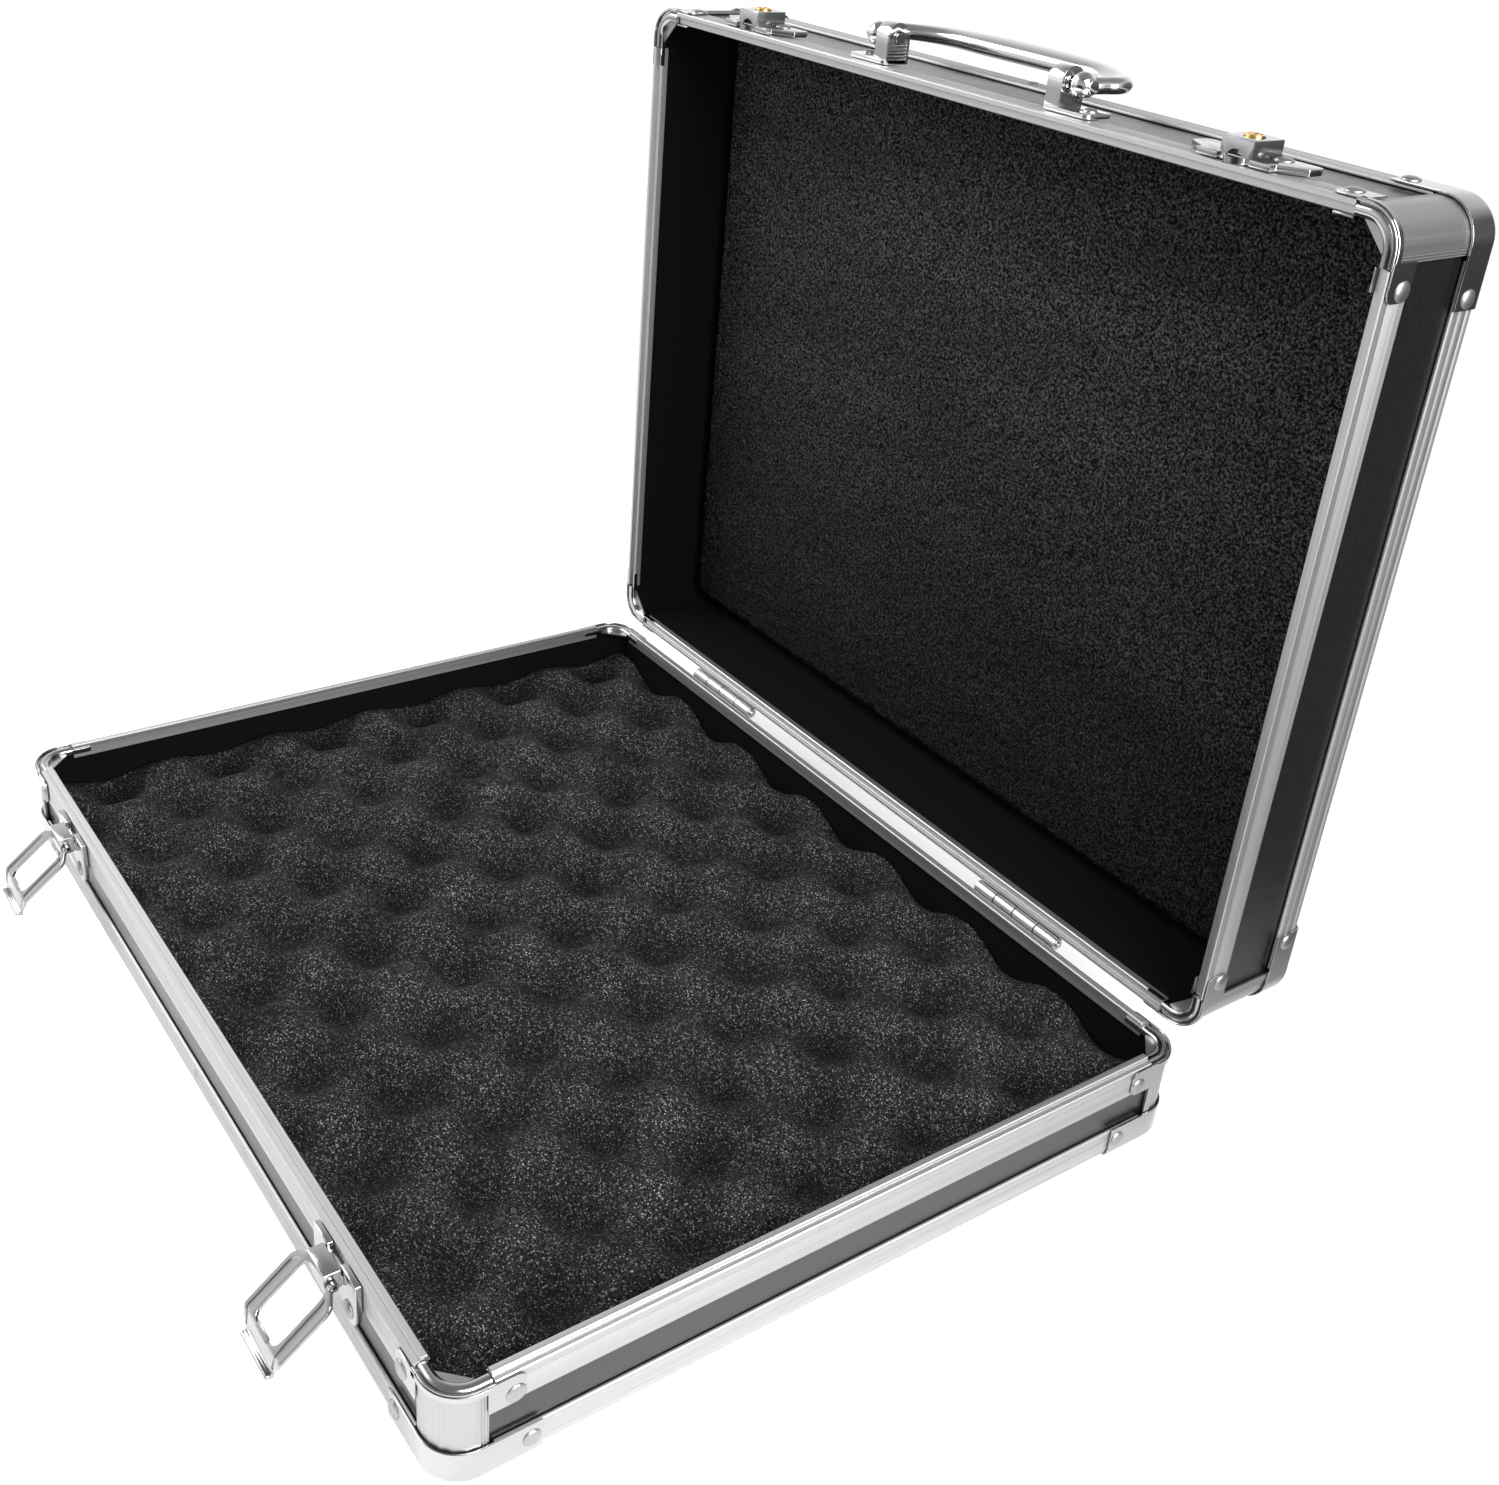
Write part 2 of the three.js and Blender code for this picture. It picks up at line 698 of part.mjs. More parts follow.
// Lock box with its key bore, on a plate that flares into two riveted wings
function lockBox() {
  const [low, high] = [seatGap, seatGap + lockPlateThickness];
  const boxEnd = lockBoxTop + lockBoxLength;
  const wingEnd = lockWingStart + lockWingHeight;
  const wing = [
    [lockNeckHalfWidth, lockPlateTop],
    [lockNeckHalfWidth, lockPlateTop + lockNeckHeight],
    [lockWingHalfWidth, lockWingStart],
    ...arc(lockWingHalfWidth - lockWingRadius, wingEnd - lockWingRadius, lockWingRadius,
      0, 90, smallCornerSteps),
  ];
  const outline = [
    ...wing,
    ...wing.map(([x, y]) => [-x, y]).toReversed(),
    [-lockBoxHalfWidth, lockPlateTop],
    [-lockBoxHalfWidth, lockBoxTop + seatGap],
    [lockBoxHalfWidth, lockBoxTop + seatGap],
    [lockBoxHalfWidth, lockPlateTop],
  ];
  const rivetDepth = (lockWingStart + wingEnd) / 2;
  const rivets = [-1, 1].map((side) =>
    rivetAt(side * lockRivetPlace, rivetDepth, high, capRivetRadius, rivetRise,
      lockPlateThickness / 2));
  const body = box(-lockBoxHalfWidth, lockBoxHalfWidth, lockBoxTop, boxEnd, low, lockBoxHeight);
  const recess = new THREE.CylinderGeometry(
    lockRecessRadius, lockRecessRadius, lockRecessDepth + overrun, roundSides)
    .translate(0, lockBoxTop + (lockRecessDepth - overrun) / 2, low);
  const bore = new THREE.CylinderGeometry(
    keyRadius + seatGap, keyRadius + seatGap, keyDepth + seatGap + overrun, roundSides)
    .rotateX(Math.PI / 2)
    .translate(0, keyHoleDepth, lockBoxHeight + (overrun - keyDepth - seatGap) / 2);
  return cut(join(plate(outline, low, high), body, ...rivets), solidOf(recess), solidOf(bore));
}

function keyPlug() {
  const body = new THREE.CylinderGeometry(keyRadius, keyRadius, keyRise + keyDepth, roundSides)
    .rotateX(Math.PI / 2)
    .translate(0, 0, (keyRise - keyDepth) / 2);
  const reach = keySlotShare * keyRadius;
  const slot = box(-keySlotWidth / 2, keySlotWidth / 2, -reach, reach,
    keyRise - keySlotDepth, keyRise + overrun);
  return cut(solidOf(body), slot);
}

// Handle bracket: an ear with a round head, on a riveted foot that reaches outboard
function handleBracket() {
  const ear = skin(
    [
      [handlePivotDepth - earRadius, seatGap],
      [handlePivotDepth + earRadius, seatGap],
      ...arc(handlePivotDepth, handlePivotRise, earRadius, 0, 180, roundSides / 2),
    ],
    [(v, out) => [earPlace, v, out], (v, out) => [earPlace + earWidth, v, out]],
  );
  const end = earPlace + earWidth + footReach;
  const foot = roundedRectangle((end - earPlace) / 2, footHalfHeight, footRadius, smallCornerSteps)
    .map(([x, y]) => [x + (end + earPlace) / 2, y + handlePivotDepth]);
  const rivet = rivetAt(end - footRivetInset, handlePivotDepth, seatGap + footThickness,
    footRivetRadius, rivetRise, footThickness / 2);
  const bore = barAlongX(earPlace - overrun, earPlace + earWidth + overrun,
    handlePivotDepth, handlePivotRise, handlePinRadius + seatGap);
  return cut(join(ear, plate(foot, seatGap, seatGap + footThickness), rivet), bore);
}

// Bail handle, drawn about its pivot line: balls outside the ears, arms that turn round, a flattened grip
function bailHandle() {
  const bend = bendShares.map(([x, y]) => [ballPlace + x * armBulge, y * handleReach]);
  const arch = archShares.map(([x, y]) => [x * earPlace, y * handleReach]);
  const right = [...bend, ...arch];
  const left = right.map(([x, y]) => [-x, y]).toReversed();
  const route = new THREE.CatmullRomCurve3(
    [...right, [0, handleReach], ...left].map(([x, y]) => new THREE.Vector3(x, y, 0)));
  const stations = Array.from({ length: gripSteps + 1 }, (_, i) => {
    const at = i / gripSteps;
    const centre = route.getPointAt(at);
    const along = route.getTangentAt(at);
    const swell = THREE.MathUtils.smoothstep(Math.min(at, 1 - at), ...swellShares);
    const wide = THREE.MathUtils.lerp(armHalfWidth, gripHalfWidth, swell);
    const thick = THREE.MathUtils.lerp(armHalfThickness, gripHalfThickness, swell);
    return (a, b) => [centre.x - along.y * wide * a, centre.y + along.x * wide * a, thick * b];
  });
  const ends = [-1, 1].flatMap((s) => {
    const sphere = new THREE.SphereGeometry(ballRadius, roundSides, roundSides / 2)
      .rotateZ(Math.PI / 2).translate(s * ballPlace, 0, 0);
    const inner = s * (earPlace - handlePinEnd);
    return [
      solidOf(sphere),
      barAlongX(Math.min(inner, s * ballPlace), Math.max(inner, s * ballPlace), 0, 0, handlePinRadius),
    ];
  });
  return join(skin(arc(0, 0, 1, 0, 360, gripSides).slice(1), stations), ...ends);
}

// Egg-crate sheet: peaks and hollows from two waves, with flat sides and underside
function baseFoam() {
  const inset = boardInnerInset + foamGap;
  const [halfX, halfY] = [halfWidth - inset, halfDepth - inset];
  const bottom = base.height - floorInset - seatGap;
  const crest = (x, y) =>
    Math.cos((2 * Math.PI * (x - foamPeakX)) / foamPitchX) *
    Math.cos((2 * Math.PI * (y - foamPeakY)) / foamPitchY);
  const level = (x, y) => bottom - foamMeanHeight - foamWaveHeight * crest(x, y);
  const spread = (steps, half) =>
    Array.from({ length: steps + 1 }, (_, i) => ((2 * i) / steps - 1) * half);
  const stations = spread(foamStepsX, halfX).map((x) => [
    ...spread(foamStepsY, halfY).map((y) => [x, y, level(x, y)]),
    [x, halfY, bottom],
    [x, -halfY, bottom],
  ]);
  const trim = plate(roundedRectangle(halfX, halfY, boardInnerRadius), 0, bottom);
  return waveSkin(stations).intersect(trim);
}

// The closed skin of a waved sheet; each ring runs along the wave and back under it
function waveSkin(rings) {
  const size = rings[0].length;
  const [top, under] = [size - 2, size - 1];
  const index = [];
  for (let s = 0; s + 1 < rings.length; s++) {
    for (let i = 0; i < size; i++) {
      const [a, b] = [s * size + i, s * size + ((i + 1) % size)];
      index.push(a, b, b + size, a, b + size, a + size);
    }
  }
  for (let i = 0; i < top; i++) {
    const end = (rings.length - 1) * size;
    index.push(under, i + 1, i, end + i, end + i + 1, end + under);
  }
  const geometry = new THREE.BufferGeometry();
  geometry.setAttribute("position", new THREE.Float32BufferAttribute(rings.flat(2), 3));
  geometry.setIndex(index);
  return solidOf(geometry);
}

// Flat foam sheet in the lid, with its edges broken
function lidFoam() {
  const inset = boardInnerInset + lidFoamMargin;
  const bottom = lid.height - floorInset - seatGap;
  return skin(roundedRectangle(halfWidth - inset, halfDepth - inset, boardInnerRadius), [
    shrunk(lidFoamEdge, lidFoamDepth),
    shrunk(0, lidFoamDepth + lidFoamEdge),
    shrunk(0, bottom),
  ]);
}

// One half of the case in its own frame: rim at z = 0, depth along +z
function halfCase(half) {
  const group = new THREE.Group();
  const place = (name, solid, look, x, y) => {
    const mesh = piece(`${half.name}_${name}`, solid, look);
    mesh.scale.set(x, y, 1);
    group.add(mesh);
  };
  const side = (x) => (x * half.turn > 0 ? "right" : "left");
  const face = (y) => (y < 0 ? "front" : "back");
  group.add(piece(`${half.name}_shell`, shell(half), blackPanel));
  for (const sign of [-1, 1]) {
    const edge = sign < 0 ? rivetedWidthRail(half) : widthRail(edgeRailOutline(half));
    place(`rim_rail_${face(sign)}`, widthRail(rimRailOutline(half)), satinAluminium, 1, sign);
    place(`edge_rail_${face(sign)}`, edge, satinAluminium, 1, sign);
    place(`rim_rail_${side(sign)}`, depthRail(rimRailOutline(half)), satinAluminium, sign, 1);
    place(`edge_rail_${side(sign)}`, depthRail(edgeRailOutline(half)), satinAluminium, sign, 1);
  }
  for (const [x, y] of [[-1, -1], [1, -1], [1, 1], [-1, 1]]) {
    const where = `${face(y)}_${side(x)}`;
    place(`corner_post_${where}`, cornerPost(half), brushedPost, x, y);
    place(`rim_corner_${where}`, rimCorner(), nickelPlate, x, y);
    place(`edge_corner_${where}`, edgeCorner(half), nickelPlate, x, y);
  }
  for (const sign of [-1, 1]) {
    const own = half.tongue ? [0, 2] : [1, 3];
    const leaf = hingeLeaf(half, own, sign * hingePlace);
    group.add(piece(`hinge_${half.name}_leaf_${side(sign)}`, leaf, chromePlate));
  }
  return group;
}

function baseFittings() {
  const group = new THREE.Group();
  for (const sign of [-1, 1]) {
    const side = sign < 0 ? "right" : "left";
    const frame = frontFrame(sign * haspPlace);
    const loop = piece(`hasp_loop_${side}`, haspLoop(), chromePlate);
    loop.position.set(0, pivotDepth, pivotOut);
    loop.rotation.x = THREE.MathUtils.degToRad(loopTilt);
    frame.add(piece(`hasp_plate_${side}`, haspPlate(), nickelPlate), loop);
    group.add(frame);
  }
  group.add(piece("base_foam", baseFoam(), softFoam));
  return group;
}

function lidFittings() {
  const group = new THREE.Group();
  for (const sign of [-1, 1]) {
    const side = sign < 0 ? "left" : "right";
    const lock = frontFrame(sign * haspPlace);
    const key = piece(`key_plug_${side}`, keyPlug(), brassPlug);
    key.position.set(0, keyHoleDepth, lockBoxHeight);
    lock.add(piece(`lock_box_${side}`, lockBox(), nickelPlate), key);
    const bracket = piece(`handle_bracket_${side}`, handleBracket(), chromePlate);
    bracket.scale.x = sign;
    const mount = frontFrame();
    mount.add(bracket);
    group.add(lock, mount);
  }
  const handle = piece("handle", bailHandle(), chromePlate);
  handle.position.set(0, handlePivotDepth, handlePivotRise);
  handle.rotation.x = THREE.MathUtils.degToRad(handleTilt);
  const mount = frontFrame();
  mount.add(handle);
  group.add(mount, piece("lid_foam", lidFoam(), softFoam));
  return group;
}

// The base lies on its panel, and the lid hangs on the hinge axis, turned open
function toolCase() {
  const lower = new THREE.Group();
  lower.add(halfCase(base), baseFittings());
  lower.rotation.y = Math.PI;
  lower.position.z = baseHeight;
  const upper = new THREE.Group();
  upper.add(halfCase(lid), lidFittings());
  upper.position.set(0, -halfDepth - hingeOffset, closingGap / 2);
  const swing = new THREE.Group();
  swing.add(upper);
  swing.position.set(0, halfDepth + hingeOffset, baseHeight + closingGap / 2);
  swing.rotation.x = THREE.MathUtils.degToRad(-openAngle);
  const assembly = new THREE.Group();
  assembly.add(lower, swing);
  return assembly;
}

// The origin is the middle of the ground that the open case covers
const assembly = toolCase();
const bounds = new THREE.Box3().setFromObject(assembly, true);
const middle = bounds.getCenter(new THREE.Vector3());
assembly.position.set(-middle.x, -middle.y, -bounds.min.z);
const toolCaseModel = new THREE.Group();
toolCaseModel.add(assembly);

export default toolCaseModel;
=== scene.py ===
# Aluminium tool case, standing open. Modelled in millimetres, placed in metres. Blender 4.5.
import math

import bmesh
import bpy
from mathutils import Matrix, Vector, noise


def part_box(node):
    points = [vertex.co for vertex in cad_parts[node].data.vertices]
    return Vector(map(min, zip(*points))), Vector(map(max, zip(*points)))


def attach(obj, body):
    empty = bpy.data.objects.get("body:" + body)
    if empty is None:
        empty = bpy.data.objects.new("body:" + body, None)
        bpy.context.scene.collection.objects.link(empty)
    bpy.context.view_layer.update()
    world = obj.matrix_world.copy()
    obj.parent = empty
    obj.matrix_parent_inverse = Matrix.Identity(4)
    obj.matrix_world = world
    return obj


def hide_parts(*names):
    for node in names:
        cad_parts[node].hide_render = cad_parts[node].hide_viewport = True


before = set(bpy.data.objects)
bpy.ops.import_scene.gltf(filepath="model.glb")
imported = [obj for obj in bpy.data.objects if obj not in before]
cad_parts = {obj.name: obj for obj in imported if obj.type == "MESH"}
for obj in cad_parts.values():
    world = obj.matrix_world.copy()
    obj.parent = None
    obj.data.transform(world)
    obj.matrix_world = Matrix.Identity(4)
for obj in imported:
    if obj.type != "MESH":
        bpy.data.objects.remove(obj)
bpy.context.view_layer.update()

mm = 0.001
weld = 0.0005  # points closer than this are merged
overshoot = 3  # how far a cutting piece stands out of what it cuts
roundSteps = 6  # steps of a small round corner
bothSides = ("left", "right")
print("frame loaded")


# Places read from the frame, in millimetres
def reach(node, axis):
    low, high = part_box(node)
    return low[axis] / mm, high[axis] / mm


def middle(node):
    return sum(reach(node, 0)) / 2


halfWidth = reach("base_edge_rail_right", 0)[1]
frontFace = reach("base_rim_rail_front", 1)[0]
backFace = reach("base_rim_rail_back", 1)[1]
halfDepth = (backFace - frontFace) / 2
baseRim = reach("base_rim_corner_front_left", 2)[1]
lidRim = reach("lid_rim_corner_front_left", 1)[0]
lidFace = reach("lid_edge_corner_front_left", 1)[1]
lidTop = reach("lid_rim_rail_front", 2)[1]
toMetres = Matrix.Scale(mm, 4)

# Each half has its own frame: x along the case, y towards the hinges, z down from the rim
basePlace = Matrix(((-1, 0, 0, 0), (0, 1, 0, (frontFace + backFace) / 2), (0, 0, -1, baseRim), (0, 0, 0, 1)))
lidPlace = Matrix(((1, 0, 0, 0), (0, 0, 1, lidRim), (0, -1, 0, lidTop - halfDepth), (0, 0, 0, 1)))
halves = {
    "base": {"place": basePlace, "height": baseRim, "turn": -1, "knuckles": (0, 2)},
    "lid": {"place": lidPlace, "height": lidFace - lidRim, "turn": 1, "knuckles": (1, 3)},
}


# From the half's own frame, in millimetres, to the case's
def inHalf(half):
    return toMetres @ halves[half]["place"]


def boxIn(half, node):
    toHalf = inHalf(half).inverted()
    corners = [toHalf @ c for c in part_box(node)]
    return Vector(map(min, *corners)), Vector(map(max, *corners))


# A front fitting is drawn flat: x along the case, y down from the rim, z outwards
def onFront(half, x):
    if half == "base":
        place = Matrix(((-1, 0, 0, x), (0, 0, -1, frontFace), (0, -1, 0, baseRim), (0, 0, 0, 1)))
    else:
        place = Matrix(((1, 0, 0, x), (0, 1, 0, lidRim), (0, 0, 1, lidTop), (0, 0, 0, 1)))
    return toMetres @ place


# A swinging part is drawn about its pivot
def tilted(depth, rise, tilt):
    return Matrix.Translation((0, depth, rise)) @ Matrix.Rotation(math.radians(tilt), 4, "X")


# Modelling steps
def deselectAll():
    for piece in list(bpy.context.selected_objects):
        piece.select_set(False)


def pick(piece):
    deselectAll()
    piece.select_set(True)
    bpy.context.view_layer.objects.active = piece


def startEdit(piece):
    pick(piece)
    bpy.ops.object.mode_set(mode="EDIT")
    bpy.ops.mesh.select_mode(type="VERT")
    bpy.ops.mesh.select_all(action="SELECT")


def endEdit(piece):
    bpy.ops.mesh.select_all(action="SELECT")
    bpy.ops.mesh.remove_doubles(threshold=weld)
    bpy.ops.mesh.normals_make_consistent(inside=False)
    bpy.ops.object.mode_set(mode="OBJECT")
    return piece


def nameIt(name):
    piece = bpy.context.active_object
    piece.name = piece.data.name = name
    return piece


# A new primitive keeps its place and size in its mesh
def newPiece(name):
    piece = nameIt(name)
    bpy.ops.object.transform_apply(location=True, rotation=True, scale=True)
    return piece


def addObject(name, data):
    thing = bpy.data.objects.new(name, data)
    bpy.context.scene.collection.objects.link(thing)
    return thing


def selectEdges(piece, test):
    bpy.ops.mesh.select_mode(type="EDGE")
    bpy.ops.mesh.select_all(action="DESELECT")
    mesh = bmesh.from_edit_mesh(piece.data)
    for edge in mesh.edges:
        edge.select_set(test(edge.verts[0].co, edge.verts[1].co))
    bmesh.update_edit_mesh(piece.data)


def selectFaces(piece, test):
    bpy.ops.mesh.select_mode(type="FACE")
    bpy.ops.mesh.select_all(action="DESELECT")
    mesh = bmesh.from_edit_mesh(piece.data)
    for face in mesh.faces:
        face.select_set(test(face.calc_center_median(), face.normal))
    bmesh.update_edit_mesh(piece.data)


# A plane drawn together to one corner, then drawn out along an outline and filled
def drawOutline(name, points):
    corners = [Vector(p) for p in points]
    deselectAll()
    bpy.ops.mesh.primitive_plane_add(size=1)
    piece = nameIt(name)
    startEdit(piece)
    bpy.ops.mesh.merge(type="CENTER")
    bpy.ops.transform.translate(value=corners[0])
    for here, there in zip(corners, corners[1:]):
        bpy.ops.mesh.extrude_vertices_move(TRANSFORM_OT_translate={"value": there - here})
    bpy.ops.mesh.select_all(action="SELECT")
    bpy.ops.mesh.edge_face_add()
    return piece


def push(step):
    bpy.ops.mesh.extrude_region_move(TRANSFORM_OT_translate={"value": Vector(step)})


def plate(name, points, step):
    piece = drawOutline(name, points)
    push(step)
    return endEdit(piece)


def block(name, low, high):
    low, high = Vector(low), Vector(high)
    deselectAll()
    bpy.ops.mesh.primitive_cube_add(size=1, location=(low + high) / 2, scale=high - low)
    return newPiece(name)


def bar(name, start, end, radius, sides=32):
    start, end = Vector(start), Vector(end)
    along = end - start
    turn = along.to_track_quat("Z", "Y").to_euler()
    deselectAll()
    bpy.ops.mesh.primitive_cylinder_add(
        vertices=sides, radius=radius, depth=along.length, location=(start + end) / 2, rotation=turn)
    return newPiece(name)


def apply(piece, modifier):
    pick(piece)
    bpy.ops.object.modifier_apply(modifier=modifier.name)
    return piece


def soften(piece, width, segments=2, limit=30):
    modifier = piece.modifiers.new("softEdges", "BEVEL")
    modifier.width, modifier.segments = width, segments
    modifier.limit_method, modifier.angle_limit = "ANGLE", math.radians(limit)
    return apply(piece, modifier)


# A bar whose ends alone are rounded
def roundedBar(name, start, end, radius, edge, segments=2, sides=32):
    return soften(bar(name, start, end, radius, sides), edge, segments, limit=60)


def carve(piece, *tools):
    for tool in tools:
        modifier = piece.modifiers.new("cut", "BOOLEAN")
        modifier.object, modifier.operation, modifier.solver = tool, "DIFFERENCE", "EXACT"
        apply(piece, modifier)
        bpy.data.objects.remove(tool)
    return piece


def merge(name, *pieces):
    deselectAll()
    for piece in pieces:
        piece.select_set(True)
    bpy.context.view_layer.objects.active = pieces[0]
    bpy.ops.object.join()
    return nameIt(name)


def moved(piece, change):
    piece.data.transform(change)
    if change.determinant() < 0:
        piece.data.flip_normals()
    return piece


def copyOf(piece, name, change):
    copy = addObject(name, piece.data.copy())
    copy.data.name = name
    return moved(copy, change)


def arc(x, y, radius, start, end, steps):
    turns = [math.radians(start + (end - start) * i / steps) for i in range(steps + 1)]
    return [(x + radius * math.cos(t), y + radius * math.sin(t)) for t in turns]


def mirrored(points):
    return [(-x, y) for x, y in reversed(points)]


def flat(points, z):
    return [(x, y, z) for x, y in points]


# A finished piece: its material, its shading, the body that it rides on and the node that it stands for
def finish(piece, material, body, node, smooth=22):
    if material and len(piece.data.materials) > 1:
        piece.data.materials[0] = material
    elif material:
        piece.data.materials.clear()
        piece.data.materials.append(material)
    pick(piece)
    bpy.ops.object.shade_smooth_by_angle(angle=math.radians(smooth))
    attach(piece, body)
    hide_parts(node)


# Materials
def newMaterial(name, color, metallic, roughness):
    material = bpy.data.materials.new(name)
    material.use_nodes = True
    shader = material.node_tree.nodes["Principled BSDF"]
    shader.inputs["Base Color"].default_value = (*color, 1)
    shader.inputs["Metallic"].default_value = metallic
    shader.inputs["Roughness"].default_value = roughness
    return material, material.node_tree, shader


def feed(node, socket, source):
    node.id_data.links.new(source, node.inputs[socket])


def addNode(tree, kind, **values):
    node = tree.nodes.new(kind)
    for name, value in values.items():
        if name in node.inputs:
            node.inputs[name].default_value = value
        else:
            setattr(node, name, value)
    return node


def addPlace(tree, scale=(1, 1, 1)):
    place = addNode(tree, "ShaderNodeTexCoord")
    mapping = addNode(tree, "ShaderNodeMapping", Scale=scale)
    feed(mapping, "Vector", place.outputs["Object"])
    return mapping.outputs["Vector"]


def addNoise(tree, vector, scale, detail=2.0, roughness=0.5):
    node = addNode(tree, "ShaderNodeTexNoise", Scale=scale, Detail=detail, Roughness=roughness)
    feed(node, "Vector", vector)
    return node.outputs["Fac"]


def addRange(tree, source, fromLow, fromHigh, low, high):
    node = tree.nodes.new("ShaderNodeMapRange")
    for name, value in (("From Min", fromLow), ("From Max", fromHigh), ("To Min", low), ("To Max", high)):
        node.inputs[name].default_value = value
    feed(node, "Value", source)
    return node.outputs["Result"]


def addMix(tree, share, dark, light):
    node = tree.nodes.new("ShaderNodeMix")
    node.data_type = "RGBA"
    colours = [s for s in node.inputs if s.type == "RGBA"]
    for socket, value in zip(colours, (dark, light)):
        if isinstance(value, tuple):
            socket.default_value = (*value, 1)
        else:
            tree.links.new(value, socket)
    feed(node, "Factor", share)
    return [s for s in node.outputs if s.type == "RGBA"][0]


def addMath(tree, operation, first, second):
    node = addNode(tree, "ShaderNodeMath", operation=operation)
    for socket, value in zip(node.inputs, (first, second)):
        if isinstance(value, (int, float)):
            socket.default_value = value
        else:
            tree.links.new(value, socket)
    return node.outputs[0]


def addBump(tree, shader, height, strength, distance):
    bump = addNode(tree, "ShaderNodeBump", Strength=strength, Distance=distance)
    feed(bump, "Height", height)
    feed(shader, "Normal", bump.outputs["Normal"])


noiseSpan = (0.3, 0.7)  # most of a noise lies between these
drawnMetal = {
    "color": (0.52, 0.522, 0.525), "shade": (0.42, 0.422, 0.425), "rough": (0.44, 0.58),
    "along": 4, "across": 1300, "bands": 420, "bump": 0.5, "bumpDepth": 0.0001,
}
brushedMetal = {
    "color": (0.42, 0.422, 0.425), "shade": (0.37, 0.372, 0.375), "rough": (0.34, 0.42),
    "along": 6, "across": 1800, "bands": 300, "bump": 0.12, "bumpDepth": 0.0001,
}


# Extruded aluminium with draw lines along one axis
def drawnAluminium(name, axis, m=drawnMetal):
    material, tree, shader = newMaterial(name, m["color"], 1, m["rough"][0])

    def stretched(across, along):
        scale = [across] * 3
        scale[axis] = along
        return addPlace(tree, scale)

    lines = addNoise(tree, stretched(m["across"], m["along"]), 1, detail=3, roughness=0.6)
    bands = addNoise(tree, stretched(m["bands"], m["along"] / 2), 1)
    feed(shader, "Roughness", addRange(tree, bands, *noiseSpan, *m["rough"]))
    share = addRange(tree, lines, *noiseSpan, 0, 1)
    feed(shader, "Base Color", addMix(tree, share, m["shade"], m["color"]))
    addBump(tree, shader, bands, m["bump"], m["bumpDepth"])
    return material


# Plated steel: faint smudges in its gloss, and a slow ripple in its surface
plating = {"smudges": 60, "smudgeSpan": (0.3, 0.75), "shade": 0.9, "bumpDepth": 0.0002}


def polishedMetal(name, color, rough, ripple, rippleScale):
    p = plating
    material, tree, shader = newMaterial(name, color, 1, rough[0])
    smudge = addNoise(tree, addPlace(tree, (p["smudges"],) * 3), 1, detail=4, roughness=0.6)
    height = addNoise(tree, addPlace(tree, (rippleScale,) * 3), 1)
    feed(shader, "Roughness", addRange(tree, smudge, *p["smudgeSpan"], *rough))
    feed(shader, "Base Color", addMix(tree, smudge, color, tuple(c * p["shade"] for c in color)))
    addBump(tree, shader, height, ripple, p["bumpDepth"])
    return material


turnedBrass = {"color": (0.86, 0.58, 0.2), "dark": (0.72, 0.42, 0.1), "light": (0.88, 0.62, 0.24),
               "gloss": 0.18, "rough": (0.12, 0.3), "lines": 900}


def brassMetal():
    m = turnedBrass
    material, tree, shader = newMaterial("turnedBrass", m["color"], 1, m["gloss"])
    lines = addNoise(tree, addPlace(tree, (m["lines"],) * 3), 1, detail=3)
    feed(shader, "Roughness", addRange(tree, lines, *noiseSpan, *m["rough"]))
    feed(shader, "Base Color", addMix(tree, lines, m["light"], m["dark"]))
    return material


# Black film on board: fine leather-like grain with a soft sheen
boardFilm = {
    "dark": (0.002, 0.002, 0.002), "light": (0.006, 0.006, 0.006), "gloss": 0.42, "rough": (0.26, 0.3), "ior": 1.65,
    "grain": 1200, "grainSpan": (0.35, 0.7), "clouds": 18, "bump": 0.35, "bumpDepth": 0.0002,
}


def outerFilm():
    m = boardFilm
    material, tree, shader = newMaterial("blackFilm", m["dark"], 0, m["gloss"])
    grain = addNoise(tree, addPlace(tree), m["grain"], detail=3, roughness=0.65)
    cloud = addNoise(tree, addPlace(tree), m["clouds"])
    fine = addRange(tree, grain, *m["grainSpan"], 0, 1)
    feed(shader, "Base Color", addMix(tree, fine, m["dark"], m["light"]))
    feed(shader, "Roughness", addRange(tree, cloud, *noiseSpan, *m["rough"]))
    shader.inputs["IOR"].default_value = m["ior"]
    addBump(tree, shader, grain, m["bump"], m["bumpDepth"])
    return material


liningCloth = {
    "color": (0.004, 0.004, 0.004), "dark": (0.002, 0.002, 0.002), "light": (0.005, 0.005, 0.005),
    "specular": 0.06, "fibres": 1100, "bump": 0.4, "bumpDepth": 0.0002,
}


def innerLining():
    m = liningCloth
    material, tree, shader = newMaterial("innerLining", m["color"], 0, 1)
    fibre = addNoise(tree, addPlace(tree), m["fibres"], detail=3, roughness=0.7)
    feed(shader, "Base Color", addMix(tree, fibre, m["dark"], m["light"]))
    shader.inputs["Specular IOR Level"].default_value = m["specular"]
    addBump(tree, shader, fibre, m["bump"], m["bumpDepth"])
    return material


